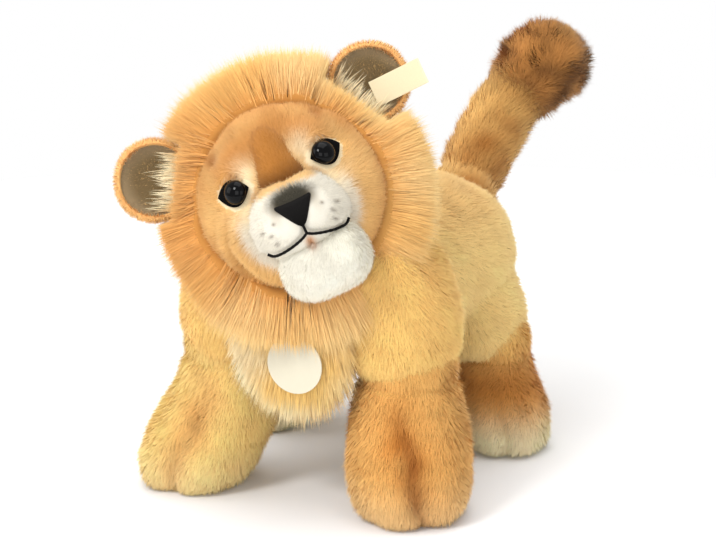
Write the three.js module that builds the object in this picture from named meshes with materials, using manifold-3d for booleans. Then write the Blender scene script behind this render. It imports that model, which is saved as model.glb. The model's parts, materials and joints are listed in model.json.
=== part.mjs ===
// A stuffed toy lion standing on four legs, with its head turned and tilted.
// Millimetres, +Z up. The lion looks along -Y, and its own left side is +X.
import * as THREE from 'three';
import { mergeVertices } from 'three/addons/utils/BufferGeometryUtils.js';
import Module from 'manifold-3d';

const wasm = await Module();
wasm.setup();

// Cloth, filling and the gaps between sewn pieces
const skinWall = 2;
const fillGap = 0.4;
const seamGap = 0.4;
const ballGap = 0.9;
const mouthShare = 1 / 3;
const flexRange = THREE.MathUtils.degToRad(20);

// Trunk: its spine runs from the chest to the rump and bends to the left
const trunkLength = 176;
const chestFrontY = -72;
const chestX = 5;
const chestZ = 88;
const waistX = 4;
const waistZ = 91;
const rumpX = 9;
const rumpZ = 92;
const chestHalfWidth = 34;
const waistHalfWidth = 45;
const hipHalfWidth = 54;
const rumpHalfWidth = 49;
const chestHalfHeight = 33;
const waistHalfHeight = 39;
const hipHalfHeight = 40;
const rumpHalfHeight = 37;
const trunkBlunt = 2.3;
const bellySeamRise = 10.5;

// Haunches, the swellings of the trunk above the hind legs
const haunchSide = 4;
const haunchFront = 9.5;
const haunchHeight = 42;
const haunchFoot = 10.5;
const haunchLean = 20;
const haunchBlunt = 2.6;

// Upper front legs, which are separate lobes sewn to the trunk
const upperLegSide = 4.6;
const upperLegFront = 6;
const upperLegTaper = 5.5;
const upperLegHeight = 58;
const upperLegFoot = 19;
const upperLegLean = 10;
const upperLegBlunt = 2.6;

// Lower legs: a ball at the crease that flexes, and a wide paw on a flat sole
const frontCreaseZ = 69;
const frontCreaseY = -50;
const frontLeftCreaseX = 49;
const frontRightCreaseX = -37;
const frontBallRadius = 21.2;
const frontPawHalfWidth = 27.5;
const frontPawHalfDepth = 28;
const frontLeftPawX = 51;
const frontLeftPawY = -54;
const frontRightPawX = -55;
const frontRightPawY = -54;
const hindCreaseZ = 51;
const hindLeftCreaseX = 50;
const hindLeftCreaseY = 52;
const hindRightCreaseX = -46;
const hindRightCreaseY = 44;
const hindBallRadius = 16.5;
const hindPawHalfWidth = 20;
const hindPawHalfDepth = 22;
const hindLeftPawX = 58;
const hindLeftPawY = 50;
const hindRightPawX = -63;
const hindRightPawY = 35;

// Tail: a tube on a ball at the rump, with a tuft at its tip
const tailBaseX = 12;
const tailBaseY = 94;
const tailBaseZ = 107;
const tailBallRadius = 16.5;
const tailRootRadius = 15;
const tailMiddleRadius = 14;
const tailTipRadius = 15;
const tailTipX = 43;
const tailTipY = 150;
const tailTipZ = 183;
const tailBowSide = 8;
const tailBowBack = 4;
const tailBlunt = 3;
const tuftLength = 44;
const tuftThickness = 4;
const tuftBlunt = 2.4;

// Head: a ball that nods about its own middle on a neck that turns in the trunk
const headX = 0;
const headY = -64;
const headZ = 141;
const headRadius = 44;
const headYaw = THREE.MathUtils.degToRad(25);
const headPitch = THREE.MathUtils.degToRad(15);
const headRoll = THREE.MathUtils.degToRad(24.6);
const faceSeamAngle = THREE.MathUtils.degToRad(65.4);
const neckSlope = THREE.MathUtils.degToRad(46);
const neckHalfAngle = THREE.MathUtils.degToRad(23);
const neckRoot = 5;
const neckMouthShare = 2 / 3;

// Mane: the ring round the head, thicker behind its lip, and thickest where no pose brings it near the chest
const maneThickness = 11;
const maneLip = 7;
const maneBackAngle = THREE.MathUtils.degToRad(110);
const maneSpread = THREE.MathUtils.degToRad(12);
const maneStand = 7;
const maneClearAngle = THREE.MathUtils.degToRad(86);
const maneFullAngle = THREE.MathUtils.degToRad(100);

// Muzzle, chin and nose bridge, sewn on in front of the face
const muzzleHalfWidth = 21;
const muzzleHalfHeight = 19.5;
const muzzleStand = 13;
const muzzleDepth = 26;
const muzzleDrop = 9.5;
const chinHalfWidth = 20;
const chinHalfHeight = 16;
const chinStand = 4;
const chinDepth = 24;
const chinDrop = 30;
const bridgeHalfWidth = 8.5;
const bridgeHalfHeight = 17;
const bridgeStand = 2.5;
const bridgeUp = 19.5;

// Nose, and the mouth's thread
const noseWidth = 16;
const noseHeight = 11;
const noseThickness = 2.2;
const noseDrop = 9;
const noseRound = 1.6;
const mouthThread = 1;
const mouthShares = [
  // share of the muzzle's half width, share of its half height
  [0, -0.36],
  [0.13, -0.48],
  [0.33, -0.65],
  [0.57, -0.72],
  [0.71, -0.64],
  [0.78, -0.52],
];

// Eyes: a domed button on a stem, a felt backing, and a washer inside the cloth
const eyeAside = THREE.MathUtils.degToRad(27);
const eyeRaise = THREE.MathUtils.degToRad(13.1);
const eyeRadius = 5.2;
const eyeDomeHeight = 4;
const eyeStemRadius = 1.3;
const eyeStemLength = 9;
const eyeWasherRadius = 5.5;
const eyeWasherThickness = 1.2;
const backingHalfLength = 7.6;
const backingHalfHeight = 5.8;
const backingCorner = 1.45;
const backingShift = 2.4;
const backingThickness = 0.8;
const stemClearance = 0.3;

// Ears: cupped rounds with a short-pile lining, folding at their base
const earRadius = 17.5;
const earDepth = 6.5;
const earBeyond = 16;
const earTurn = THREE.MathUtils.degToRad(31.7);
const earY = 2;
const earCupShift = 4;
const earEdge = 2.6;
const earLining = 1.3;
const earRootRadius = 3.4;
const earRootLength = 18;
const earFoldClearance = 3.5;
const earPartingHalfWidth = 14;

// Blank ribbon label in the left ear
const labelWidth = 11.5;
const labelLength = 26;
const labelThickness = 0.6;
const labelForward = 2.7;
const labelDrop = 5.5;
const labelTilt = THREE.MathUtils.degToRad(27);

// Chest ruff, with a round paper tag on a loop of thread
const ruffX = 5;
const ruffFootY = -68;
const ruffFootZ = 50;
const ruffTopY = -76;
const ruffTopZ = 98;
const ruffFootHalfWidth = 13;
const ruffTopHalfWidth = 36;
const ruffFootHalfDepth = 8;
const ruffTopHalfDepth = 10;
const ruffBlunt = 2.2;
const tagRadius = 13;
const tagThickness = 0.8;
const tagHoleRadius = 1.5;
const tagHoleInset = 3;
const tagDrop = 3;
const tagX = 12;
const tagGap = 0.8;
const loopRadius = 3.4;
const loopThread = 0.45;
const loopLean = THREE.MathUtils.degToRad(35);

// Counts of sides, rings and steps on the round forms
const trunkSides = 14;
const trunkRings = 7;
const limbSides = 12;
const fillSides = 6;
const fillRings = 4;
const legRings = 5;
const seatSides = 12;
const fillSeatSides = 10;
const headSides = 20;
const faceSides = 10;
const earSides = 10;
const smallSides = 6;
const threadSides = 6;
const arcSteps = 3;
const domeSteps = 4;
const curveSteps = 4;
const capSteps = 1;

// Colours
const cloth = (colour) => new THREE.MeshStandardMaterial({ color: colour, roughness: 0.95, metalness: 0 });
const paleCloth = cloth(0xdcb684);
const goldCloth = cloth(0xe0aa63);
const orangeCloth = cloth(0xd8944c);
const maneCloth = cloth(0xd9a860);
const brownCloth = cloth(0xa06a35);
const whiteCloth = cloth(0xefece2);
const greyCloth = cloth(0x9a8c78);
const filling = cloth(0xf4f2ec);
const ribbon = cloth(0xeee3c8);
const paper = new THREE.MeshStandardMaterial({ color: 0xf3ecd6, roughness: 0.8, metalness: 0 });
const blackGloss = new THREE.MeshStandardMaterial({ color: 0x0b0a0a, roughness: 0.12, metalness: 0 });
const blackThread = new THREE.MeshStandardMaterial({ color: 0x17120f, roughness: 0.7, metalness: 0 });
const clearPlastic = new THREE.MeshStandardMaterial({ color: 0xd9d9d6, roughness: 0.4, metalness: 0 });

// Booleans of closed meshes
function solidOf(geometry) {
  const bare = geometry.clone();
  bare.deleteAttribute('normal');
  bare.deleteAttribute('uv');
  const merged = mergeVertices(bare);
  const vertProperties = new Float32Array(merged.attributes.position.array);
  const triVerts = new Uint32Array(merged.index.array);
  return new wasm.Manifold(new wasm.Mesh({ numProp: 3, vertProperties, triVerts }));
}

function geometryOf(solid) {
  const mesh = solid.getMesh();
  const geometry = new THREE.BufferGeometry();
  geometry.setAttribute('position', new THREE.BufferAttribute(new Float32Array(mesh.vertProperties), 3));
  geometry.setIndex(new THREE.BufferAttribute(new Uint32Array(mesh.triVerts), 1));
  geometry.computeVertexNormals();
  return geometry;
}

const lion = new THREE.Group();
lion.name = 'stuffed_lion';

function addPiece(parent, name, geometry, material) {
  const mesh = new THREE.Mesh(geometry, material);
  mesh.name = name;
  parent.add(mesh);
  return mesh;
}

// Rings of points closed by a pole at each end
function loft(rings, firstPole, lastPole) {
  const sides = rings[0].length;
  const points = [firstPole, ...rings.flat(), lastPole];
  const faces = [];
  const last = points.length - 1;
  for (let side = 0; side < sides; side += 1) {
    const next = (side + 1) % sides;
    faces.push(0, 1 + next, 1 + side);
    faces.push(last, last - sides + side, last - sides + next);
    for (let ring = 0; ring < rings.length - 1; ring += 1) {
      const here = 1 + ring * sides;
      const there = here + sides;
      faces.push(here + side, here + next, there + next);
      faces.push(here + side, there + next, there + side);
    }
  }
  const geometry = new THREE.BufferGeometry().setFromPoints(points);
  const volume = faces.reduce((sum, point, at) => (at % 3 ? sum : sum + points[point].dot(
    new THREE.Vector3().crossVectors(points[faces[at + 1]], points[faces[at + 2]]))), 0);
  geometry.setIndex(volume > 0 ? faces : faces.reverse());
  return geometry;
}

function ringOf(centre, across, up, sides) {
  return Array.from({ length: sides }, (_, side) => {
    const turn = 2 * Math.PI * side / sides;
    return centre.clone().addScaledVector(across, Math.cos(turn)).addScaledVector(up, Math.sin(turn));
  });
}

// A point on a spine, carried straight on past its ends
function spinePoint(spine, along) {
  const within = THREE.MathUtils.clamp(along, 0, 1);
  const beyond = (along - within) * spine.getLength();
  return spine.getPointAt(within).addScaledVector(spine.getTangentAt(within), beyond);
}

// A stuffed form: oval rings along a spine, swelling by the size curve and round at both ends
function stuffed({ spine, sizes, blunt }, inset, sides, rings) {
  const trim = inset / spine.getLength();
  const side = new THREE.Vector3(1, 0, 0);
  const list = [];
  for (let ring = 1; ring < rings; ring += 1) {
    const share = (1 - Math.cos(Math.PI * ring / rings)) / 2;
    const cap = (1 - Math.abs(2 * share - 1) ** blunt) ** (1 / blunt);
    const along = trim + (1 - 2 * trim) * share;
    const within = THREE.MathUtils.clamp(along, 0, 1);
    const tangent = spine.getTangentAt(within);
    const across = side.clone().addScaledVector(tangent, -side.dot(tangent)).normalize();
    const up = new THREE.Vector3().crossVectors(tangent, across);
    const size = sizes.getPoint(within);
    across.multiplyScalar((size.x - inset) * cap);
    up.multiplyScalar((size.y - inset) * cap);
    list.push(ringOf(spinePoint(spine, along), across, up, sides));
  }
  return solidOf(loft(list, spinePoint(spine, trim), spinePoint(spine, 1 - trim)));
}

const sizeCurve = (pairs) => new THREE.CatmullRomCurve3(pairs.map(([a, b]) => new THREE.Vector3(a, b, 0)));

function ball(centre, radius, sides) {
  const sphere = new THREE.SphereGeometry(radius, sides, sides / 2);
  return solidOf(sphere.translate(centre.x, centre.y, centre.z));
}

function oval(centre, halfX, halfY, halfZ, sides) {
  const sphere = new THREE.SphereGeometry(1, sides, sides / 2);
  return solidOf(sphere.scale(halfX, halfY, halfZ).translate(centre.x, centre.y, centre.z));
}

// A hollow whose flat facets, too, stay clear of a ball of this radius
function seat(centre, radius, sides) {
  return ball(centre, (radius + ballGap) / Math.cos(Math.PI / sides) ** 2, sides);
}

function block(low, high) {
  const size = high.clone().sub(low);
  const middle = low.clone().add(high).multiplyScalar(1 / 2);
  return solidOf(new THREE.BoxGeometry(size.x, size.y, size.z).translate(middle.x, middle.y, middle.z));
}

// Points of a round's profile, at angles from its -Y axis
const arc = (radius, from, to) => Array.from({ length: arcSteps + 1 }, (_, step) => {
  const angle = from + (to - from) * step / arcSteps;
  return new THREE.Vector2(radius * Math.sin(angle), -radius * Math.cos(angle));
});

const far = 2 * trunkLength;
const farLow = new THREE.Vector3(-far, -far, -far);
const farHigh = new THREE.Vector3(far, far, far);

// Lower legs
const legs = {
  front_left: {
    crease: new THREE.Vector3(frontLeftCreaseX, frontCreaseY, frontCreaseZ),
    paw: new THREE.Vector3(frontLeftPawX, frontLeftPawY, 0),
    ballRadius: frontBallRadius,
    halfWidth: frontPawHalfWidth,
    halfDepth: frontPawHalfDepth,
  },
  front_right: {
    crease: new THREE.Vector3(frontRightCreaseX, frontCreaseY, frontCreaseZ),
    paw: new THREE.Vector3(frontRightPawX, frontRightPawY, 0),
    ballRadius: frontBallRadius,
    halfWidth: frontPawHalfWidth,
    halfDepth: frontPawHalfDepth,
  },
  hind_left: {
    crease: new THREE.Vector3(hindLeftCreaseX, hindLeftCreaseY, hindCreaseZ),
    paw: new THREE.Vector3(hindLeftPawX, hindLeftPawY, 0),
    ballRadius: hindBallRadius,
    halfWidth: hindPawHalfWidth,
    halfDepth: hindPawHalfDepth,
  },
  hind_right: {
    crease: new THREE.Vector3(hindRightCreaseX, hindRightCreaseY, hindCreaseZ),
    paw: new THREE.Vector3(hindRightPawX, hindRightPawY, 0),
    ballRadius: hindBallRadius,
    halfWidth: hindPawHalfWidth,
    halfDepth: hindPawHalfDepth,
  },
};
const pawShares = [
  // share of the height below the ball, share of the half width, share of the half depth
  [0, 0.8, 0.78],
  [0.16, 0.86, 0.84],
  [0.36, 0.95, 0.94],
  [0.58, 1, 1],
  [0.76, 0.98, 0.99],
  [0.89, 0.89, 0.91],
  [0.965, 0.76, 0.79],
  [1, 0.62, 0.66],
];

function legSolid(leg, inset, sides, rings) {
  const radius = leg.ballRadius - inset;
  const lowestAngle = Math.PI / 2 + flexRange;
  const across = new THREE.Vector3(1, 0, 0);
  const deep = new THREE.Vector3(0, 1, 0);
  const list = [];
  const ballRings = Math.round(rings / 2);
  for (let ring = 1; ring <= ballRings; ring += 1) {
    const angle = lowestAngle * ring / ballRings;
    const reach = radius * Math.sin(angle);
    const centre = leg.crease.clone().setZ(leg.crease.z + radius * Math.cos(angle));
    list.push(ringOf(centre, across.clone().multiplyScalar(reach), deep.clone().multiplyScalar(reach), sides));
  }
  const topZ = leg.crease.z + leg.ballRadius * Math.cos(lowestAngle);
  const outline = sizeCurve(pawShares.map(([, width, depth]) => [width, depth]));
  const heights = new THREE.SplineCurve(pawShares.map(([drop], at) => new THREE.Vector2(at, drop)));
  for (let ring = 1; ring <= rings; ring += 1) {
    const size = outline.getPoint(ring / rings);
    const drop = heights.getPoint(ring / rings).y;
    const lean = THREE.MathUtils.smoothstep(drop, 0, 1);
    const centre = leg.crease.clone().lerp(leg.paw, lean).setZ(Math.max(inset, topZ * (1 - drop)));
    const width = leg.halfWidth * size.x - inset;
    const depth = leg.halfDepth * size.y - inset;
    list.push(ringOf(centre, across.clone().multiplyScalar(width), deep.clone().multiplyScalar(depth), sides));
  }
  const crown = leg.crease.clone().setZ(leg.crease.z + radius);
  const sole = leg.paw.clone().setZ(inset);
  return solidOf(loft(list, crown, sole));
}

for (const [name, leg] of Object.entries(legs)) {
  const hollow = legSolid(leg, skinWall, fillSides, fillRings);
  const crown = leg.crease.clone().setZ(leg.crease.z + leg.ballRadius);
  const mouth = ball(crown, leg.ballRadius * mouthShare, smallSides);
  const skin = legSolid(leg, 0, limbSides, legRings).subtract(hollow).subtract(mouth);
  const stuffing = legSolid(leg, skinWall + fillGap, fillSides, fillRings);
  addPiece(lion, `${name}_leg_skin`, geometryOf(skin), orangeCloth);
  addPiece(lion, `${name}_leg_stuffing`, geometryOf(stuffing), filling);
}

// Trunk: three panels of cloth round one filling, hollowed for the head, legs and tail
const trunk = {
  spine: new THREE.CatmullRomCurve3([
    new THREE.Vector3(chestX, chestFrontY, chestZ),
    new THREE.Vector3(chestX, chestFrontY + trunkLength / 4, (chestZ + waistZ) / 2),
    new THREE.Vector3(waistX, chestFrontY + trunkLength / 2, waistZ),
    new THREE.Vector3((waistX + rumpX) / 2, chestFrontY + 3 * trunkLength / 4, rumpZ),
    new THREE.Vector3(rumpX, chestFrontY + trunkLength, rumpZ),
  ]),
  sizes: sizeCurve([
    [chestHalfWidth, chestHalfHeight],
    [chestHalfWidth, chestHalfHeight],
    [waistHalfWidth, waistHalfHeight],
    [hipHalfWidth, hipHalfHeight],
    [rumpHalfWidth, rumpHalfHeight],
  ]),
  blunt: trunkBlunt,
};

function haunch(leg, inset) {
  const top = leg.crease.clone().setZ(leg.crease.z + haunchHeight - inset);
  top.x -= Math.sign(leg.crease.x) * haunchLean;
  const foot = leg.crease.clone().setZ(leg.crease.z - haunchFoot + inset);
  const size = [leg.ballRadius + haunchSide, leg.ballRadius + haunchFront];
  const form = { spine: new THREE.LineCurve3(foot, top), sizes: sizeCurve([size, size]), blunt: haunchBlunt };
  return stuffed(form, inset, limbSides, fillRings);
}

function trunkSolid(inset, sides, rings) {
  return stuffed(trunk, inset, sides, rings)
    .add(haunch(legs.hind_left, inset))
    .add(haunch(legs.hind_right, inset))
    .subtract(block(farLow, new THREE.Vector3(far, far, hindCreaseZ + inset)));
}

const headCentre = new THREE.Vector3(headX, headY, headZ);
const maneRadius = headRadius + maneThickness;
const neckReach = maneRadius + neckRoot;
const neckDirection = new THREE.Vector3(0, Math.cos(neckSlope), -Math.sin(neckSlope));
const neckTurn = new THREE.Quaternion().setFromUnitVectors(new THREE.Vector3(0, -1, 0), neckDirection);
const socketAngle = neckHalfAngle + seamGap / neckReach;
const socketProfile = [...arc(neckReach + seamGap, 0, socketAngle), new THREE.Vector2()];
const socketRound = 1 / Math.cos(Math.PI / limbSides);
const socket = solidOf(new THREE.LatheGeometry(socketProfile, limbSides)
  .scale(socketRound, 1, socketRound)
  .applyQuaternion(neckTurn)
  .translate(headX, headY, headZ));
const tailBase = new THREE.Vector3(tailBaseX, tailBaseY, tailBaseZ);
const seatsOf = (sides) => Object.values(legs)
  .map((leg) => seat(leg.crease, leg.ballRadius, sides))
  .reduce((all, one) => all.add(one), seat(headCentre, maneRadius, sides))
  .add(seat(tailBase, tailBallRadius, sides));
const seats = seatsOf(seatSides);
const fillSeats = seatsOf(fillSeatSides);
const trunkSkin = trunkSolid(0, trunkSides, trunkRings)
  .subtract(trunkSolid(skinWall, fillSides, fillRings))
  .subtract(seats)
  .subtract(socket);
const bellySeamZ = hindCreaseZ + bellySeamRise;
const leftLow = new THREE.Vector3(chestX + seamGap / 2, -far, bellySeamZ + seamGap);
const rightLow = new THREE.Vector3(-far, -far, bellySeamZ + seamGap);
const leftSide = block(leftLow, farHigh);
const rightSide = block(rightLow, new THREE.Vector3(chestX - seamGap / 2, far, far));
const underside = block(farLow, new THREE.Vector3(far, far, bellySeamZ));
const trunkFilling = trunkSolid(skinWall + fillGap, fillSides, fillRings)
  .subtract(fillSeats)
  .subtract(socket);
addPiece(lion, 'body_panel_left', geometryOf(trunkSkin.intersect(leftSide)), paleCloth);
addPiece(lion, 'body_panel_right', geometryOf(trunkSkin.intersect(rightSide)), paleCloth);
addPiece(lion, 'belly_panel', geometryOf(trunkSkin.intersect(underside)), paleCloth);
addPiece(lion, 'body_stuffing', geometryOf(trunkFilling), filling);

// Upper front legs, shaped to the trunk that they are sewn to
const trunkRoom = stuffed(trunk, -seamGap, trunkSides, trunkRings);

function upperLeg(leg, inset, sides, rings) {
  const top = leg.crease.clone().setZ(leg.crease.z + upperLegHeight);
  top.x -= Math.sign(leg.crease.x) * upperLegLean;
  const foot = leg.crease.clone().setZ(leg.crease.z - upperLegFoot);
  const halfWidth = leg.ballRadius + upperLegSide;
  const halfDepth = leg.ballRadius + upperLegFront;
  const sizes = sizeCurve([
    [halfWidth, halfDepth],
    [halfWidth, halfDepth],
    [halfWidth - upperLegTaper, halfDepth],
  ]);
  return stuffed({ spine: new THREE.LineCurve3(foot, top), sizes, blunt: upperLegBlunt }, inset, sides, rings);
}

for (const name of ['front_left', 'front_right']) {
  const leg = legs[name];
  const below = block(farLow, new THREE.Vector3(far, far, leg.crease.z));
  const belowFilling = block(farLow, new THREE.Vector3(far, far, leg.crease.z + skinWall + fillGap));
  const skin = upperLeg(leg, 0, limbSides, legRings)
    .subtract(upperLeg(leg, skinWall, fillSides, fillRings))
    .subtract(trunkRoom)
    .subtract(seats)
    .subtract(below);
  const stuffing = upperLeg(leg, skinWall + fillGap, fillSides, fillRings)
    .subtract(trunkRoom)
    .subtract(fillSeats)
    .subtract(belowFilling);
  addPiece(lion, `${name}_shoulder_skin`, geometryOf(skin), goldCloth);
  addPiece(lion, `${name}_shoulder_stuffing`, geometryOf(stuffing), filling);
}

// Paper tag on its loop of thread, in front of the chest ruff
const tagHole = new THREE.Vector3(tagX, ruffTopY - ruffTopHalfDepth - tagGap, headZ - maneRadius - tagDrop);
const tagOutline = new THREE.Shape().absarc(0, tagHoleInset - tagRadius, tagRadius, 0, 2 * Math.PI);
tagOutline.holes.push(new THREE.Path().absarc(0, 0, tagHoleRadius, 0, 2 * Math.PI, true));
const tagShape = { depth: tagThickness, bevelEnabled: false, curveSegments: smallSides };
const tagPlate = new THREE.ExtrudeGeometry(tagOutline, tagShape).translate(0, 0, -tagThickness / 2);
const tag = addPiece(lion, 'hang_tag', tagPlate.rotateX(Math.PI / 2), paper);
tag.position.copy(tagHole);
const loopMiddle = tagHole.clone();
loopMiddle.y += loopRadius * Math.sin(loopLean);
loopMiddle.z += loopRadius * Math.cos(loopLean);

function loopRing(thickness) {
  const ring = new THREE.TorusGeometry(loopRadius, thickness, threadSides, limbSides);
  return solidOf(ring.rotateY(Math.PI / 2).translate(loopMiddle.x, loopMiddle.y, loopMiddle.z));
}

addPiece(lion, 'tag_loop', geometryOf(loopRing(loopThread)), blackThread);

// Chest ruff, pierced for the loop
const legRoom = upperLeg(legs.front_left, -seamGap, limbSides, legRings)
  .add(upperLeg(legs.front_right, -seamGap, limbSides, legRings));
const ruffForm = {
  spine: new THREE.CatmullRomCurve3([
    new THREE.Vector3(ruffX, ruffFootY, ruffFootZ),
    new THREE.Vector3(ruffX, (ruffFootY + ruffTopY) / 2, (ruffFootZ + ruffTopZ) / 2),
    new THREE.Vector3(ruffX, ruffTopY, ruffTopZ),
  ]),
  sizes: sizeCurve([
    [ruffFootHalfWidth, ruffFootHalfDepth],
    [(ruffFootHalfWidth + ruffTopHalfWidth) / 2, ruffTopHalfDepth],
    [ruffTopHalfWidth, ruffTopHalfDepth],
  ]),
  blunt: ruffBlunt,
};
const ruff = stuffed(ruffForm, 0, limbSides, legRings)
  .subtract(trunkRoom)
  .subtract(legRoom)
  .subtract(seats)
  .subtract(loopRing(loopThread + seamGap));
addPiece(lion, 'chest_ruff', geometryOf(ruff), maneCloth);

// Tail and its tuft
const tailTip = new THREE.Vector3(tailTipX, tailTipY, tailTipZ);
const tailMiddle = tailBase.clone().lerp(tailTip, 1 / 2);
tailMiddle.x -= tailBowSide;
tailMiddle.y += tailBowBack;
const tailTube = {
  spine: new THREE.CatmullRomCurve3([tailBase, tailMiddle, tailTip]),
  sizes: sizeCurve([
    [tailRootRadius, tailRootRadius],
    [tailMiddleRadius, tailMiddleRadius],
    [tailTipRadius, tailTipRadius],
  ]),
  blunt: tailBlunt,
};

function tailSolid(inset, sides, rings) {
  return stuffed(tailTube, inset, sides, rings).add(ball(tailBase, tailBallRadius - inset, sides));
}

const tailRoot = tailBase.clone().add(tailBase.clone().sub(tailMiddle).setLength(tailBallRadius));
const tailSkin = tailSolid(0, limbSides, legRings)
  .subtract(tailSolid(skinWall, fillSides, fillRings))
  .subtract(ball(tailRoot, tailBallRadius * mouthShare, smallSides));
addPiece(lion, 'tail_skin', geometryOf(tailSkin), goldCloth);
addPiece(lion, 'tail_stuffing', geometryOf(tailSolid(skinWall + fillGap, fillSides, fillRings)), filling);
const tailLength = tailTube.spine.getLength();
const tuftStart = 1 - tuftLength / tailLength;
const tuftEnd = 1 + tuftThickness / tailLength;
const tuftPlaces = [tuftStart, (tuftStart + tuftEnd) / 2, tuftEnd];
const tuftRadius = tailTipRadius + tuftThickness;
const tuftForm = {
  spine: new THREE.CatmullRomCurve3(tuftPlaces.map((along) => spinePoint(tailTube.spine, along))),
  sizes: sizeCurve([[tuftRadius, tuftRadius], [tuftRadius, tuftRadius]]),
  blunt: tuftBlunt,
};
const tuft = stuffed(tuftForm, 0, limbSides, legRings)
  .subtract(stuffed(tailTube, -seamGap, limbSides, legRings));
addPiece(lion, 'tail_tuft', geometryOf(tuft), brownCloth);

// Neck: a stuffed plug that turns in the trunk's filling, hollowed for the head that nods in it
const neckProfile = [
  ...arc(neckReach, 0, neckHalfAngle),
  ...arc(headRadius + ballGap, neckHalfAngle, 0),
];
const neckPlug = new THREE.LatheGeometry(neckProfile, limbSides);
const neck = addPiece(lion, 'neck_stuffing', geometryOf(solidOf(neckPlug)), filling);
neck.position.copy(headCentre);
neck.quaternion.copy(neckTurn);

// Head, in its own frame: the face looks along -Y and its left side is +X
const head = new THREE.Group();
head.position.copy(headCentre);
head.rotation.set(-headPitch, -headRoll, headYaw, 'ZXY');
lion.add(head);
const headMiddle = new THREE.Vector3();
const headNeck = neckDirection.clone().applyQuaternion(head.quaternion.clone().invert());
const neckMouthRadius = headRadius * Math.sin(neckHalfAngle) * neckMouthShare;
const neckMouth = ball(headNeck.clone().multiplyScalar(headRadius), neckMouthRadius, smallSides);

// A round about the eye's own axis, given by radii and heights above the head's middle
function eyeRound(side, profile, sides) {
  const points = profile.map(([radius, height]) => new THREE.Vector2(radius, -height)).reverse();
  return solidOf(new THREE.LatheGeometry(points, sides).applyQuaternion(eyeTurn(side)));
}

function eyeTurn(side) {
  return new THREE.Quaternion().setFromEuler(new THREE.Euler(-eyeRaise, 0, side * eyeAside, 'ZXY'));
}

const backingBase = headRadius + seamGap;
const domeBase = backingBase + backingThickness + seamGap;
const washerTop = headRadius - skinWall - seamGap;
const stemEnd = domeBase - eyeStemLength;
const holeRadius = eyeStemRadius + stemClearance;
const pocketRadius = eyeWasherRadius + seamGap;
const stemHole = [[0, stemEnd], [holeRadius, stemEnd], [holeRadius, domeBase], [0, domeBase]];
const washerPocket = [
  [0, stemEnd - seamGap],
  [pocketRadius, stemEnd - seamGap],
  [pocketRadius, headRadius - skinWall],
  [0, headRadius - skinWall],
];
let headSkin = ball(headMiddle, headRadius, headSides)
  .subtract(ball(headMiddle, headRadius - skinWall, faceSides));
let headFilling = ball(headMiddle, headRadius - skinWall - fillGap, faceSides);
for (const side of [-1, 1]) {
  const pocket = eyeRound(side, washerPocket, smallSides);
  headSkin = headSkin.subtract(eyeRound(side, stemHole, smallSides)).subtract(pocket);
  headFilling = headFilling.subtract(pocket);
}
const faceSeamY = -headRadius * Math.cos(faceSeamAngle);
const frontHalf = block(farLow, new THREE.Vector3(far, faceSeamY - seamGap / 2, far));
const backHalf = block(new THREE.Vector3(-far, faceSeamY + seamGap / 2, -far), farHigh);
addPiece(head, 'face_skin', geometryOf(headSkin.intersect(frontHalf)), goldCloth);
addPiece(head, 'head_back_skin', geometryOf(headSkin.intersect(backHalf).subtract(neckMouth)), maneCloth);
addPiece(head, 'head_stuffing', geometryOf(headFilling), filling);

// Ears lie outward across the face's axis, each turned up by the same angle
const earAway = headRadius + earBeyond;
const earFold = headRadius + seamGap + earRootRadius;

function turnToEar(geometry, side) {
  const solid = solidOf(geometry.rotateY(-earTurn));
  return side > 0 ? solid : solid.mirror([1, 0, 0]);
}

function earOval(centreY, halfRound, halfDepth, side) {
  const round = new THREE.SphereGeometry(1, earSides, earSides / 2).rotateX(Math.PI / 2);
  return turnToEar(round.scale(halfRound, halfDepth, halfRound).translate(earAway, centreY, 0), side);
}

function earBlock(from, to, halfDepth, halfLength, side) {
  const slab = new THREE.BoxGeometry(to - from, 2 * halfDepth, 2 * halfLength);
  return turnToEar(slab.translate((from + to) / 2, earY, 0), side);
}

function maneRing(radius) {
  const points = [
    ...arc(headRadius + ballGap, maneBackAngle, faceSeamAngle),
    ...arc(headRadius + maneLip, faceSeamAngle, faceSeamAngle).slice(0, 1),
    ...arc(radius, faceSeamAngle + maneSpread, maneBackAngle - maneSpread),
  ];
  points.push(points[0].clone());
  return solidOf(new THREE.LatheGeometry(points, headSides));
}

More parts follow.
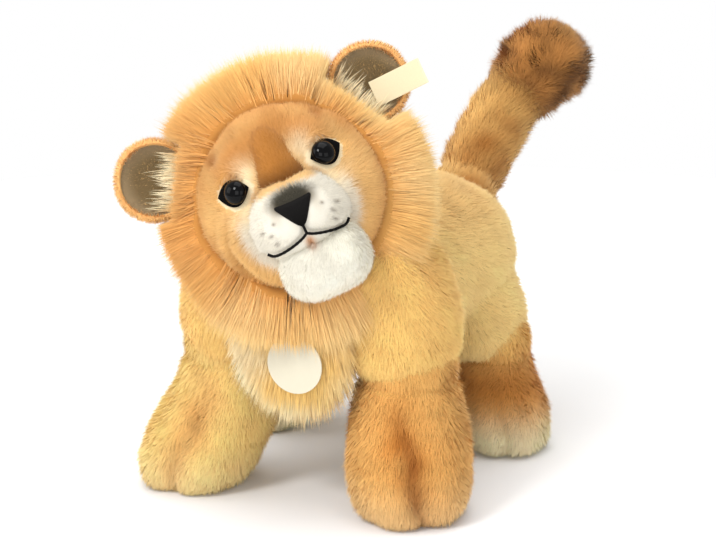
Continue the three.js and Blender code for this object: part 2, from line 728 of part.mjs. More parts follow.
// The room for the mane's thickest part: everything beyond a skirt that faces away from the neck
const skirtAt = (angle, radius) => new THREE.Vector2(radius * Math.sin(angle), -radius * Math.cos(angle));
const skirtEdge = skirtAt(maneClearAngle, maneRadius);
const skirtFoot = skirtAt(maneFullAngle, maneRadius + maneStand);
const skirtProfile = [
  new THREE.Vector2(0, skirtEdge.y),
  skirtEdge,
  skirtFoot,
  new THREE.Vector2(far, skirtFoot.y),
  new THREE.Vector2(far, far),
  new THREE.Vector2(0, far),
];
const skirtTurn = new THREE.Quaternion().setFromUnitVectors(new THREE.Vector3(0, -1, 0), headNeck);
const standRoom = solidOf(new THREE.LatheGeometry(skirtProfile, headSides).applyQuaternion(skirtTurn));
let mane = maneRing(maneRadius + maneStand)
  .intersect(standRoom)
  .add(maneRing(maneRadius));
const cupY = earY - earCupShift;
const cupRadius = earRadius - earEdge;
for (const side of [-1, 1]) {
  const word = side > 0 ? 'left' : 'right';
  const slot = earBlock(headRadius - earDepth, far, earDepth + earFoldClearance, earRadius + seamGap, side);
  const parting = new THREE.BoxGeometry(far, far, 2 * earPartingHalfWidth)
    .translate(earFold + earRootRadius + far / 2, earY - far / 2, 0);
  mane = mane.subtract(slot).subtract(turnToEar(parting, side));
  const cup = earOval(cupY, cupRadius, earDepth - seamGap / 2, side);
  const rollBar = new THREE.CapsuleGeometry(earRootRadius, earRootLength, capSteps, smallSides);
  const roll = turnToEar(rollBar.rotateX(Math.PI / 2).translate(earFold, earY, 0), side);
  const back = earOval(earY, earRadius, earDepth, side)
    .subtract(cup)
    .intersect(earBlock(earFold, far, far, far, side))
    .add(roll);
  addPiece(head, `ear_back_${word}`, geometryOf(back), orangeCloth);
  const lining = earOval(cupY, cupRadius - seamGap, earDepth - seamGap, side)
    .subtract(earOval(cupY - earLining, cupRadius - earLining, earDepth - seamGap, side))
    .intersect(earBlock(earFold + earRootRadius + seamGap, far, far, far, side));
  addPiece(head, `ear_lining_${word}`, geometryOf(lining), greyCloth);
}
addPiece(head, 'mane', geometryOf(mane), maneCloth);

// Blank ribbon label, sewn into the left ear and tilted out over its edge
const labelSheet = new THREE.BoxGeometry(labelLength, labelThickness, labelWidth)
  .translate(labelLength / 2, 0, 0);
const label = addPiece(head, 'ear_label', labelSheet, ribbon);
label.rotation.z = -labelTilt;
label.position.set(earAway * Math.cos(earTurn), earY - labelForward, earAway * Math.sin(earTurn) - labelDrop);

// Muzzle, chin and nose bridge
const muzzleMiddle = new THREE.Vector3(0, muzzleDepth - muzzleStand - headRadius, -muzzleDrop);

function muzzleSolid(grow) {
  return oval(muzzleMiddle, muzzleHalfWidth + grow, muzzleDepth + grow, muzzleHalfHeight + grow, limbSides);
}

const headRoom = ball(headMiddle, headRadius + seamGap, headSides);
const muzzleRoom = muzzleSolid(seamGap);
const lipY = -(headRadius + maneLip) * Math.cos(faceSeamAngle);
const maneRoom = block(new THREE.Vector3(-far, lipY - seamGap, -far), farHigh);
const chinMiddle = new THREE.Vector3(0, chinDepth - chinStand - headRadius, -chinDrop);
const chin = oval(chinMiddle, chinHalfWidth, chinDepth, chinHalfHeight, limbSides)
  .subtract(headRoom)
  .subtract(muzzleRoom)
  .subtract(maneRoom);
const bridgeMiddle = new THREE.Vector3(0, bridgeHalfWidth - bridgeStand - headRadius, 0);
const bridgeRound = new THREE.SphereGeometry(1, limbSides, smallSides)
  .scale(bridgeHalfWidth, bridgeHalfWidth, bridgeHalfHeight)
  .translate(bridgeMiddle.x, bridgeMiddle.y, bridgeMiddle.z)
  .rotateX(-Math.atan2(bridgeUp, headRadius));
const bridge = solidOf(bridgeRound).subtract(headRoom).subtract(muzzleRoom);
addPiece(head, 'muzzle', geometryOf(muzzleSolid(0).subtract(headRoom)), whiteCloth);
addPiece(head, 'chin', geometryOf(chin), whiteCloth);
addPiece(head, 'nose_bridge', geometryOf(bridge), orangeCloth);

// Nose: a rounded triangle that follows the muzzle
const noseSide = noseWidth / 2;
const noseTop = noseHeight / 2;
const noseShape = new THREE.Shape();
noseShape.moveTo(noseRound - noseSide, noseTop);
noseShape.lineTo(noseSide - noseRound, noseTop);
noseShape.quadraticCurveTo(noseSide, noseTop, noseSide - noseRound / 2, noseTop - noseRound);
noseShape.lineTo(noseRound, noseRound - noseTop);
noseShape.quadraticCurveTo(0, -noseTop, -noseRound, noseRound - noseTop);
noseShape.lineTo(noseRound / 2 - noseSide, noseTop - noseRound);
noseShape.quadraticCurveTo(-noseSide, noseTop, noseRound - noseSide, noseTop);
const noseOptions = { depth: far, bevelEnabled: false, curveSegments: curveSteps };
const nosePrism = new THREE.ExtrudeGeometry(noseShape, noseOptions);
const nose = solidOf(nosePrism.rotateX(Math.PI / 2).translate(0, muzzleMiddle.y, -noseDrop))
  .intersect(muzzleSolid(seamGap + noseThickness))
  .subtract(muzzleRoom);
addPiece(head, 'nose', geometryOf(nose), blackThread);

// Mouth thread: a stroke each way from below the nose, lying on the muzzle
const threadLift = seamGap + mouthThread / 2;
const threadCircle = new THREE.Shape().absarc(0, 0, mouthThread / 2, 0, 2 * Math.PI);

function onMuzzle(across, up) {
  const forward = Math.sqrt(1 - across ** 2 - up ** 2);
  const x = across * (muzzleHalfWidth + threadLift);
  const y = -forward * (muzzleDepth + threadLift);
  const z = up * (muzzleHalfHeight + threadLift);
  return new THREE.Vector3(x, y, z).add(muzzleMiddle);
}

const strokes = [-1, 1].map((side) => {
  const path = new THREE.CatmullRomCurve3(mouthShares.map(([across, up]) => onMuzzle(side * across, up)));
  const steps = 2 * mouthShares.length;
  const options = { steps, bevelEnabled: false, curveSegments: threadSides / 2, extrudePath: path };
  return solidOf(new THREE.ExtrudeGeometry(threadCircle, options));
});
addPiece(head, 'mouth_thread', geometryOf(strokes[0].add(strokes[1])), blackThread);

// Eyes
const domePoints = Array.from({ length: domeSteps }, (_, step) => {
  const angle = Math.PI / 2 * step / domeSteps;
  return [eyeRadius * Math.cos(angle), domeBase + eyeDomeHeight * Math.sin(angle)];
});
const buttonProfile = [
  [0, stemEnd],
  [eyeStemRadius, stemEnd],
  [eyeStemRadius, domeBase],
  ...domePoints,
  [0, domeBase + eyeDomeHeight],
];
const washerProfile = [
  [holeRadius, washerTop - eyeWasherThickness],
  [eyeWasherRadius, washerTop - eyeWasherThickness],
  [eyeWasherRadius, washerTop],
  [holeRadius, washerTop],
  [holeRadius, washerTop - eyeWasherThickness],
];
const almond = new THREE.Shape();
const outerCorner = backingShift + backingHalfLength;
const innerCorner = backingShift - backingHalfLength;
almond.moveTo(outerCorner, backingCorner);
almond.quadraticCurveTo(backingShift, 2 * backingHalfHeight, innerCorner, 0);
almond.quadraticCurveTo(backingShift, -2 * backingHalfHeight, outerCorner, backingCorner);
almond.holes.push(new THREE.Path().absarc(0, 0, holeRadius, 0, 2 * Math.PI, true));
for (const side of [-1, 1]) {
  const word = side > 0 ? 'left' : 'right';
  addPiece(head, `eye_${word}`, geometryOf(eyeRound(side, buttonProfile, limbSides)), blackGloss);
  addPiece(head, `eye_washer_${word}`, geometryOf(eyeRound(side, washerProfile, smallSides)), clearPlastic);
  const options = { depth: backingThickness, bevelEnabled: false, curveSegments: curveSteps };
  const felt = new THREE.ExtrudeGeometry(almond, options).rotateX(Math.PI / 2).translate(0, -backingBase, 0);
  const backing = side > 0 ? solidOf(felt) : solidOf(felt).mirror([1, 0, 0]);
  addPiece(head, `eye_backing_${word}`, geometryOf(backing).applyQuaternion(eyeTurn(side)), blackThread);
}

// The origin is under the middle of the whole lion, on the surface that it stands on
const reach = new THREE.Box3().setFromObject(lion, true);
const reachMiddle = reach.getCenter(new THREE.Vector3());
lion.position.set(-reachMiddle.x, -reachMiddle.y, 0);

export default lion;
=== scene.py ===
# A plush lion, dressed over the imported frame: smooth stuffed forms with a real pile of fine strands.
import json
import math
import bpy
import numpy as np
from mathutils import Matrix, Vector
from mathutils.bvhtree import BVHTree
from mathutils.kdtree import KDTree


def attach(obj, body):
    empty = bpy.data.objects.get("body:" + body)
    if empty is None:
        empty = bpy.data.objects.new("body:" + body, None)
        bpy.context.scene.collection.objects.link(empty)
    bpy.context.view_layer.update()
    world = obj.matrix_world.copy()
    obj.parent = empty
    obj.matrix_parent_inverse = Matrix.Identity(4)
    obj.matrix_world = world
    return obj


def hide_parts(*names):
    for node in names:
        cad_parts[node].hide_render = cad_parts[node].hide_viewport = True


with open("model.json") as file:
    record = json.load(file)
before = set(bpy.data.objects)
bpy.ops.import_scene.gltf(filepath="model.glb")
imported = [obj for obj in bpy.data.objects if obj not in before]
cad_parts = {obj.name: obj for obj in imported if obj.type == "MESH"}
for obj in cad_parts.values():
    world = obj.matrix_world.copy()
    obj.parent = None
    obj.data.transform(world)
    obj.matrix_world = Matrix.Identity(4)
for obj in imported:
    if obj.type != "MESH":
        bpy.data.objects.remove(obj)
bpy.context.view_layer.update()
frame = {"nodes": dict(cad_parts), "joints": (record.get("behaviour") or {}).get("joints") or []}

MM = 0.001
joints = {j["name"]: np.array(j["pos_m"]) / MM for j in frame["joints"]}

# Forms are described in the millimetres of the lion's own drawing; SHIFT brings them into the frame.
HEAD = np.array([0.0, -64.0, 141.0])
SHIFT = joints["head_turn"] - HEAD
HEAD_R = 44.0
FACE_SEAM = math.radians(65.4)


def turn(axis, angle):
    c, s = math.cos(angle), math.sin(angle)
    i, j = [(1, 2), (2, 0), (0, 1)]["xyz".index(axis)]
    m = np.eye(3)
    m[i, i] = m[j, j] = c
    m[i, j], m[j, i] = -s, s
    return m


# The head's pose at rest: turned to its left, lifted and tilted.
HEAD_YAW, HEAD_LIFT, HEAD_TILT = math.radians(25), math.radians(-15), math.radians(-24.6)
HEAD_TURN = turn("z", HEAD_YAW) @ turn("x", HEAD_LIFT) @ turn("y", HEAD_TILT)


def from_head(points):
    return points @ HEAD_TURN.T + HEAD


def to_head(points):
    return (points - HEAD) @ HEAD_TURN


def circle(sides):
    """The cosines and sines of angles evenly round a circle."""
    angle = 2 * math.pi * np.arange(sides) / sides
    return np.cos(angle), np.sin(angle)


def unit(v):
    return v / np.maximum(np.linalg.norm(v, axis=-1, keepdims=True), 1e-9)


def ramp(x, low, high):
    t = np.clip((x - low) / (high - low), 0, 1)
    return t * t * (3 - 2 * t)


def spot(distance, radius):
    return np.exp(-(distance / radius) ** 2)


def srgb(r, g, b):
    c = np.array([r, g, b]) / 255
    return np.where(c <= 0.04045, c / 12.92, ((c + 0.055) / 1.055) ** 2.4)


def mix(a, b, t):
    return a + (b - a) * np.asarray(t)[..., None]


rng = np.random.default_rng(7)
waves = rng.normal(size=(3, 9, 3))
wave_phases = rng.uniform(0, 2 * math.pi, (3, 9))


def noise(points, size, kind=0):
    """A smooth field of about -1 to 1 with bumps of this size in millimetres."""
    return np.sin(points @ waves[kind].T * 2.2 / size + wave_phases[kind]).sum(1) / 3.2


# Curves and stuffed forms.
def catmull(points, at):
    """A centripetal Catmull-Rom curve through the points."""
    p = np.asarray(points, float)
    x = np.clip(at, 0, 1) * (len(p) - 1)
    i = np.minimum(x.astype(int), len(p) - 2)
    w = (x - i)[:, None]
    e = np.vstack([2 * p[0] - p[1], p, 2 * p[-1] - p[-2]])
    a, b, c, d = e[i], e[i + 1], e[i + 2], e[i + 3]
    d0, d1, d2 = [np.sum((q - o) ** 2, 1, keepdims=True) ** 0.25
                  for o, q in ((a, b), (b, c), (c, d))]
    d1 = np.where(d1 < 1e-4, 1, d1)
    d0 = np.where(d0 < 1e-4, d1, d0)
    d2 = np.where(d2 < 1e-4, d1, d2)
    t1 = ((b - a) / d0 - (c - a) / (d0 + d1) + (c - b) / d1) * d1
    t2 = ((c - b) / d1 - (d - b) / (d1 + d2) + (d - c) / d2) * d1
    return b + t1 * w + (-3 * b + 3 * c - 2 * t1 - t2) * w ** 2 + (2 * b - 2 * c + t1 + t2) * w ** 3


class Spine:
    def __init__(self, points):
        self.line = catmull(points, np.linspace(0, 1, 400))
        self.along = np.concatenate([[0], np.cumsum(np.linalg.norm(np.diff(self.line, axis=0), axis=1))])
        self.length = self.along[-1]

    def inside(self, share):
        place = np.clip(share, 0, 1) * self.length
        return np.stack([np.interp(place, self.along, self.line[:, k]) for k in range(3)], 1)

    def point(self, share):
        past = (share - np.clip(share, 0, 1)) * self.length
        return self.inside(share) + self.tangent(share) * past[:, None]

    def tangent(self, share):
        return unit(self.inside(share + 0.01) - self.inside(share - 0.01))


def rings_mesh(rings, first, last):
    """Vertices and faces of rings of points closed by a pole at each end."""
    count, sides = rings.shape[:2]
    points = np.vstack([[first], rings.reshape(-1, 3), [last]])
    faces = []
    for s in range(sides):
        n = (s + 1) % sides
        faces.append((0, 1 + n, 1 + s))
        end = 1 + (count - 1) * sides
        faces.append((len(points) - 1, end + s, end + n))
        for r in range(count - 1):
            o = 1 + r * sides
            faces.append((o + s, o + n, o + sides + n, o + sides + s))
    return outward(points, faces)


def closed_band(points, count, sides):
    """A closed band of rings of points, the last joined to the first."""
    faces = [(r * sides + s, r * sides + (s + 1) % sides, (r + 1) % count * sides + (s + 1) % sides,
              (r + 1) % count * sides + s) for r in range(count) for s in range(sides)]
    return outward(points, faces)


def outward(points, faces):
    volume = 0.0
    for f in faces:
        for k in range(1, len(f) - 1):
            volume += np.dot(points[f[0]], np.cross(points[f[k]], points[f[k + 1]]))
    return points, (faces if volume > 0 else [f[::-1] for f in faces])


def stuffed(spine, sizes, blunt, inset, sides=72, rings=44):
    """A stuffed form along a spine; the larger blunt is, the squarer its ends are."""
    share = (1 - np.cos(math.pi * np.arange(1, rings) / rings)) / 2
    trim = inset / spine.length
    cap = (1 - np.abs(2 * share - 1) ** blunt) ** (1 / blunt)
    along = trim + (1 - 2 * trim) * share
    middle, tangent = spine.point(along), spine.tangent(along)
    across = unit(np.array([1.0, 0, 0]) - tangent * tangent[:, :1])
    up = np.cross(tangent, across)
    size = catmull(np.asarray(sizes, float), np.clip(along, 0, 1)) - inset
    cos, sin = circle(sides)
    across = across * (size[:, 0] * cap)[:, None]
    up = up * (size[:, 1] * cap)[:, None]
    ring = middle[:, None] + cos[:, None] * across[:, None] + sin[:, None] * up[:, None]
    ends = spine.point(np.array([trim, 1 - trim]))
    return rings_mesh(ring, ends[0], ends[1])


def ball(centre, radii, sides=64, rings=40):
    polar = math.pi * np.arange(1, rings) / rings
    cos, sin = circle(sides)
    ring = np.stack([np.sin(polar)[:, None] * cos, np.sin(polar)[:, None] * sin,
                     np.cos(polar)[:, None] * np.ones(sides)], -1)
    radii = np.ones(3) * radii
    centre = np.asarray(centre, float)
    return rings_mesh(ring * radii + centre, centre + [0, 0, radii[2]], centre - [0, 0, radii[2]])


# Meshes.
def linked(name, data):
    made = bpy.data.objects.new(name, data)
    bpy.context.scene.collection.objects.link(made)
    return made


def new_object(name, points, faces, smooth=True):
    mesh = bpy.data.meshes.new(name)
    mesh.from_pydata(((points + SHIFT) * MM).tolist(), [], [tuple(int(i) for i in f) for f in faces])
    mesh.update()
    if smooth:
        mesh.shade_smooth()
    return linked(name, mesh)


def arrays(obj):
    """Vertices in drawing millimetres, triangles and smooth vertex normals."""
    mesh = obj.data
    co = np.zeros(len(mesh.vertices) * 3, np.float32)
    mesh.vertices.foreach_get("co", co)
    mesh.calc_loop_triangles()
    tri = np.zeros(len(mesh.loop_triangles) * 3, np.int32)
    mesh.loop_triangles.foreach_get("vertices", tri)
    normal = np.zeros(len(mesh.vertices) * 3, np.float32)
    mesh.vertex_normals.foreach_get("vector", normal)
    points = (co.reshape(-1, 3) / MM - SHIFT).astype(float)
    return points, tri.reshape(-1, 3), normal.reshape(-1, 3).astype(float)


def put_points(obj, points):
    obj.data.vertices.foreach_set("co", ((points + SHIFT) * MM).astype(np.float32).ravel())
    obj.data.update()


def fused(name, parts, voxel, smooth):
    """One skin round several overlapping forms, with soft creases between them."""
    points, faces = [], []
    for p, f in parts:
        start = sum(len(q) for q in points)
        points.append(p)
        faces += [tuple(i + start for i in one) for one in f]
    made = new_object(name, np.vstack(points), faces)
    remesh = made.modifiers.new("skin", "REMESH")
    remesh.mode, remesh.voxel_size = "VOXEL", voxel * MM
    soften = made.modifiers.new("soften", "SMOOTH")
    soften.factor, soften.iterations = 0.5, smooth
    evaluated = made.evaluated_get(bpy.context.evaluated_depsgraph_get())
    mesh = bpy.data.meshes.new_from_object(evaluated)
    made.modifiers.clear()
    made.data = mesh
    mesh.shade_smooth()
    return made


def displaced(obj, amount):
    points, _, normals = arrays(obj)
    put_points(obj, points + normals * amount(points, normals)[:, None])
    return obj


def tree_of(obj):
    points, tri, _ = arrays(obj)
    return BVHTree.FromPolygons(points.tolist(), tri.tolist())


def depth_in(points, tree):
    """How deep each point lies inside a closed skin; negative outside."""
    deep = np.empty(len(points))
    for k, p in enumerate(points):
        spot_on, normal, _, distance = tree.find_nearest(p)
        deep[k] = -math.copysign(distance, (Vector(p) - spot_on).dot(normal))
    return deep


def paint(obj, colours):
    attribute = obj.data.color_attributes.new("pile_colour", "FLOAT_COLOR", "POINT")
    rgba = np.ones((len(colours), 4), np.float32)
    rgba[:, :3] = colours
    attribute.data.foreach_set("color", rgba.ravel())


# Materials.
def material(name, build):
    made = bpy.data.materials.new(name)
    made.use_nodes = True
    build(made.node_tree, made.node_tree.nodes["Principled BSDF"])
    return made


def speckled(tree, grain, detail):
    """Noise in the object's own space."""
    place = tree.nodes.new("ShaderNodeTexCoord")
    speckle = tree.nodes.new("ShaderNodeTexNoise")
    set_inputs(speckle, Scale=grain, Detail=detail)
    join(tree, place, "Object", speckle, "Vector")
    return speckle


def join(tree, start, out, end, into):
    tree.links.new(start.outputs[out], end.inputs[into])


def set_inputs(node, **values):
    for key, value in values.items():
        node.inputs[key.replace("_", " ")].default_value = value


def painted(rough, sheen, vary, grain):
    """Colour from the piece's own paint, varied a little by noise in space."""
    def build(tree, shader):
        colour = tree.nodes.new("ShaderNodeVertexColor")
        colour.layer_name = "pile_colour"
        spread = tree.nodes.new("ShaderNodeMapRange")
        set_inputs(spread, To_Min=1 - vary, To_Max=1 + vary)
        join(tree, speckled(tree, grain, 3), "Fac", spread, "Value")
        product = tree.nodes.new("ShaderNodeVectorMath")
        product.operation = "SCALE"
        join(tree, colour, "Color", product, 0)
        join(tree, spread, "Result", product, "Scale")
        join(tree, product, "Vector", shader, "Base Color")
        set_inputs(shader, Roughness=rough, Specular_IOR_Level=0.15, Sheen_Weight=sheen,
                   Sheen_Roughness=0.6, Sheen_Tint=(1, 0.86, 0.62, 1))
    return build


def plain(colour, rough, vary, grain, specular=0.5, bump=0.0):
    """An even colour varied a little by noise, with an optional fine bump."""
    def build(tree, shader):
        speckle = speckled(tree, grain, 4)
        shades = tree.nodes.new("ShaderNodeValToRGB")
        for at, factor in ((0, 1 - vary), (1, 1 + vary)):
            shades.color_ramp.elements[at].color = (*np.clip(colour * factor, 0, 1), 1)
        join(tree, speckle, "Fac", shades, "Fac")
        join(tree, shades, "Color", shader, "Base Color")
        set_inputs(shader, Roughness=rough, Specular_IOR_Level=specular)
        if bump:
            rise = tree.nodes.new("ShaderNodeBump")
            set_inputs(rise, Strength=0.5, Distance=bump * MM)
            join(tree, speckle, "Fac", rise, "Height")
            join(tree, rise, "Normal", shader, "Normal")
    return build


# Roughness, sheen, variation and grain of the painted looks. For the plain ones, the colour, then
# roughness, variation, grain, specular share and bump in millimetres.
pile = material("pile", painted(0.9, 0.3, 0.05, 120))
backing_cloth = material("pile_backing", painted(0.95, 0.0, 0.06, 260))
black_gloss = material("black_gloss", plain(srgb(4, 4, 5), 0.05, 0.2, 90, 0.13))
black_felt = material("black_felt", plain(srgb(9, 8, 8), 0.9, 0.4, 900, 0.05, 0.15))
black_yarn = material("black_yarn", plain(srgb(13, 11, 10), 0.75, 0.35, 1400, 0.12, 0.1))
card = material("card", plain(srgb(206, 199, 178), 0.6, 0.02, 300, 0.3, 0.03))
weave = material("ribbon_weave", plain(srgb(228, 214, 178), 0.7, 0.06, 1800, 0.25, 0.08))
black_cord = material("black_cord", plain(srgb(32, 27, 24), 0.7, 0.3, 2500, 0.2))
washer_plastic = material("washer_plastic", plain(srgb(225, 225, 222), 0.4, 0.03, 80))


# Strands of pile.
ROOT_DEPTH = 0.4   # how deep a strand starts in its skin
FLOOR_GAP = 0.25   # the least height of a strand above the floor


def roots_on(skin, density, keep):
    """Random points on a skin, about density of them to a square millimetre, with their smooth normals."""
    points, tri, normals = arrays(skin)
    a, b, c = points[tri[:, 0]], points[tri[:, 1]], points[tri[:, 2]]
    area = np.linalg.norm(np.cross(b - a, c - a), axis=1) / 2
    count = int(area.sum() * density * (1))
    pick = rng.choice(len(tri), count, p=area / area.sum())
    s, t = np.sqrt(rng.random(count)), rng.random(count)
    w = np.stack([1 - s, s * (1 - t), s * t], 1)[:, :, None]
    at = (points[tri[pick]] * w).sum(1)
    up = unit((normals[tri[pick]] * w).sum(1))
    if keep is not None:
        held = keep(at, up)
        at, up = at[held], up[held]
    return at, up


def fill_new(collection, key, values, kind, width=1):
    collection.add(values.size // width)
    collection.foreach_set(key, values.astype(kind).ravel())


def pile_mesh(name, at, up, lie, length, width, root, tip, parts=1, droop=np.zeros(3), softness=0.75):
    """Flat tapering strands. lie is where each starts out, and droop is added to it towards the tip."""
    count = len(at)
    lie = unit(lie)
    side = np.cross(lie, up)
    weak = np.linalg.norm(side, axis=1) < 0.2
    side[weak] = np.cross(lie[weak], rng.normal(size=(weak.sum(), 3)))
    side = unit(side)
    roll = rng.normal(0, 0.5, count)[:, None]
    side = unit(side * np.cos(roll) + np.cross(lie, side) * np.sin(roll))
    length = np.broadcast_to(length, count)[:, None]
    width = np.broadcast_to(width, count)[:, None]
    columns, shades, normals = [], [], []
    for k in range(parts + 1):
        t = k / parts
        middle = at - up * ROOT_DEPTH + length * (lie * t + droop * t * t / 2)
        middle[:, 2] = np.maximum(middle[:, 2], FLOOR_GAP)
        now = unit(lie + droop * t)
        face = unit(np.cross(side, now))
        face *= np.where((face * up).sum(1, keepdims=True) < 0, -1, 1)
        half = side * width / 2 * (1 - 0.75 * t ** 1.5)
        ends = [middle - half, middle + half] if k < parts else [middle]
        columns += ends
        shades += [root + (tip - root) * t ** 0.8] * len(ends)
        normals += [unit(up * softness + face * (1 - softness) + now * 0.25 * t)] * len(ends)
    points = np.stack(columns, 1).reshape(-1, 3)
    corners, starts = [], []
    for k in range(parts):
        o = 2 * k
        starts.append(len(corners))
        corners += [o, o + 1, o + 3, o + 2] if k < parts - 1 else [o, o + 1, o + 2]
    base = np.arange(count)[:, None]
    loops = np.array(corners)[None] + base * len(columns)
    loop_start = np.array(starts)[None] + base * len(corners)
    mesh = bpy.data.meshes.new(name)
    fill_new(mesh.vertices, "co", (points + SHIFT) * MM, np.float32, 3)
    fill_new(mesh.loops, "vertex_index", loops, np.int32)
    fill_new(mesh.polygons, "loop_start", loop_start, np.int32)
    mesh.polygons.foreach_set("use_smooth", np.ones(loop_start.size, bool))
    # Each strand has its own cell on the bake's map.
    wide = math.ceil(math.sqrt(count * 2))
    high = math.ceil(count / wide)
    cell = np.stack([base[:, 0] % wide, base[:, 0] // wide], 1)
    spread = [[x, k / parts] for k in range(parts) for x in (0.15, 0.85)] + [[0.5, 1.0]]
    local = np.array(spread) * [1, 0.8] + [0, 0.1]
    uv = (cell[:, None] + local[np.array(corners)][None]) / [wide, high]
    layer = mesh.uv_layers.new(name="OFBake")
    layer.uv.foreach_set("vector", uv.astype(np.float32).ravel())
    mesh.update(calc_edges=True)
    mesh.validate()
    free = mesh.attributes.new("custom_normal", "FLOAT_VECTOR", "POINT")
    free.data.foreach_set("vector", np.stack(normals, 1).reshape(-1, 3).astype(np.float32).ravel())
    made = linked(name, mesh)
    paint(made, np.stack(shades, 1).reshape(-1, 3))
    mesh.materials.append(pile)
    return made


def combed(at, up, way, lean, ruffle, size):
    """Strands that lean along a way over the skin, ruffled in patches of this size."""
    along = way - up * (way * up).sum(1, keepdims=True)
    swirl = np.stack([noise(at, size, k) for k in range(3)], 1) * ruffle
    own = rng.normal(size=at.shape) * 0.13
    return unit(up * (1 - lean) + unit(along) * lean + swirl + own)


def finished(piece, look, slot, body, *nodes):
    """Gives a piece its material, its body and the CAD nodes that it stands for. slot is not used."""
    piece.data.materials.append(look)
    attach(piece, body)
    if nodes:
        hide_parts(*nodes)


def dressed(skin, body, slot, nodes, colour, painted_shade_dim):
    """A skin of backing cloth in the pile's own colour, dimmed as painted shade under the pile. The fill
    that plush and maned take is not used.
    """
    points, _, normals = arrays(skin)
    # The backing's colour is dimmed as painted shade under the pile.
    paint(skin, np.clip(colour(points, normals) * painted_shade_dim, 0.002, 1))
    skin.data.materials.clear()
    finished(skin, backing_cloth, slot, body, *nodes)


def plush(skin, body, slot, nodes, colour, density, way, lean, length, width, keep, painted_shade_dim=0.72, fill=0.8,
          tip=1.10, root=0.90, ruffle=0.14, size=11.0, spread=0.16):
    """A dressed skin with its short pile."""
    dressed(skin, body, slot, nodes, colour, painted_shade_dim)
    at, up = roots_on(skin, density, keep)
    shade = colour(at, up)
    shade = shade * (1 + 0.05 * noise(at, 9.0)[:, None] + rng.normal(0, 0.035, (len(at), 1)))
    shade = np.clip(shade, 0.002, 1)
    long = length(at, up) if callable(length) else np.full(len(at), length)
    long = long * np.clip(1 + rng.normal(0, spread, len(at)), 0.4, 1.5)
    lie = combed(at, up, way(at), lean, ruffle, size)
    # root and tip scale each strand's colour at its two ends: painted shade towards the root, deep in the
    # pile, and painted light towards the tip.
    fur = pile_mesh(skin.name.replace("plush", "pile"), at, up, lie, long, width, shade * root,
                    np.clip(shade * tip, 0, 0.98))
    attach(fur, body)


def split(obj, names, which):
    """Cuts one skin into several objects by the number that which gives each face's middle."""
    points, _, _ = arrays(obj)
    faces = [tuple(p.vertices) for p in obj.data.polygons]
    middle = np.array([points[list(f)].mean(0) for f in faces])
    kind = which(middle)
    made = []
    for k, name in enumerate(names):
        own = [f for f, m in zip(faces, kind) if m == k]
        used = sorted({i for f in own for i in f})
        renumber = {i: n for n, i in enumerate(used)}
        made.append(new_object(name, points[used], [[renumber[i] for i in f] for f in own]))
    bpy.data.objects.remove(obj)
    return made


def clumped(at, lie, length, group, pull):
    """Draws strands towards the tip of the nearest leader, as locks."""
    leaders = rng.choice(len(at), max(1, len(at) // group), replace=False)
    tree = KDTree(len(leaders))
    for n, k in enumerate(leaders):
        tree.insert(at[k], n)
    tree.balance()
    near = leaders[[tree.find(p)[1] for p in at]]
    tip = at[near] + lie[near] * length[near, None]
    strength = pull * rng.uniform(0.4, 1, len(at))[:, None]
    return unit(lie * (1 - strength) + unit(tip - at) * strength)


# The body and the legs.
SHORT = 0.5   # how far the short plush's cloth lies under the solid's surface
BACK_SEAM = 5   # where the seam down the back and the chest's middle lie, across
BELLY_SEAM = 61.5   # how high the belly's seam runs
BACK_ONLY = 70   # the back's seam is above this height
FRONT_WIDE = 27.5   # half the width of the widest paw, which its folds are drawn for
# Each leg's crease, the middle of its paw, the radius of the ball above, and half the paw's width
# and depth.
legs = {
    "front_left": dict(crease=(49.5, -50, 69), paw=(52.5, -54), ball=21.2, wide=26.8, deep=28),
    "front_right": dict(crease=(-37, -50, 69), paw=(-55, -54), ball=21.2, wide=27.5, deep=28),
    "hind_left": dict(crease=(50, 52, 51), paw=(58, 50), ball=16.5, wide=20, deep=22),
    "hind_right": dict(crease=(-46, 44, 51), paw=(-63, 35), ball=16.5, wide=20, deep=22),
}
for leg in legs.values():
    leg["crease"] = np.array(leg["crease"], float)
LOBE_DROP = [0, 0, 9]   # how far below its crease a leg's lobe on the body starts


def line(start, end):
    return Spine([start, (np.array(start) + end) / 2, end])


trunk_spine = Spine([[5, -72, 88], [5, -28, 89.5], [4, 16, 91], [6.5, 60, 92], [9, 104, 92]])
trunk_sizes = [[34, 33], [34, 33], [45, 39], [54, 40], [49, 37]]
parts = [stuffed(trunk_spine, trunk_sizes, blunt=2.3, inset=SHORT)]
for name in ("hind_left", "hind_right"):
    leg = legs[name]
    c = leg["crease"]
    inward = -math.copysign(20, c[0])
    size = [leg["ball"] + 4, leg["ball"] + 9.5]
    lobe = line(c - LOBE_DROP, c + [inward, 0, 42])
    parts.append(stuffed(lobe, [size, size], blunt=2.6, inset=SHORT))
body = fused("plush_body", parts, voxel=1.7, smooth=7)
body_tree = tree_of(body)


def body_seams(points, normals):
    """Seams pull the cloth in: down the back, and along the belly."""
    back = spot(points[:, 0] - BACK_SEAM, 1.6) * (points[:, 2] > BACK_ONLY)
    belly = spot(points[:, 2] - BELLY_SEAM, 1.6)
    return -0.7 * np.maximum(back, belly) + 0.35 * noise(points, 26)


def body_panel(middle):
    """0 for the left panel, 1 for the right one and 2 for the belly."""
    return np.where(middle[:, 2] < BELLY_SEAM, 2, np.where(middle[:, 0] > BACK_SEAM, 0, 1))


displaced(body, body_seams)
body_parts = split(body, ["plush_body_left", "plush_body_right", "plush_belly"], body_panel)

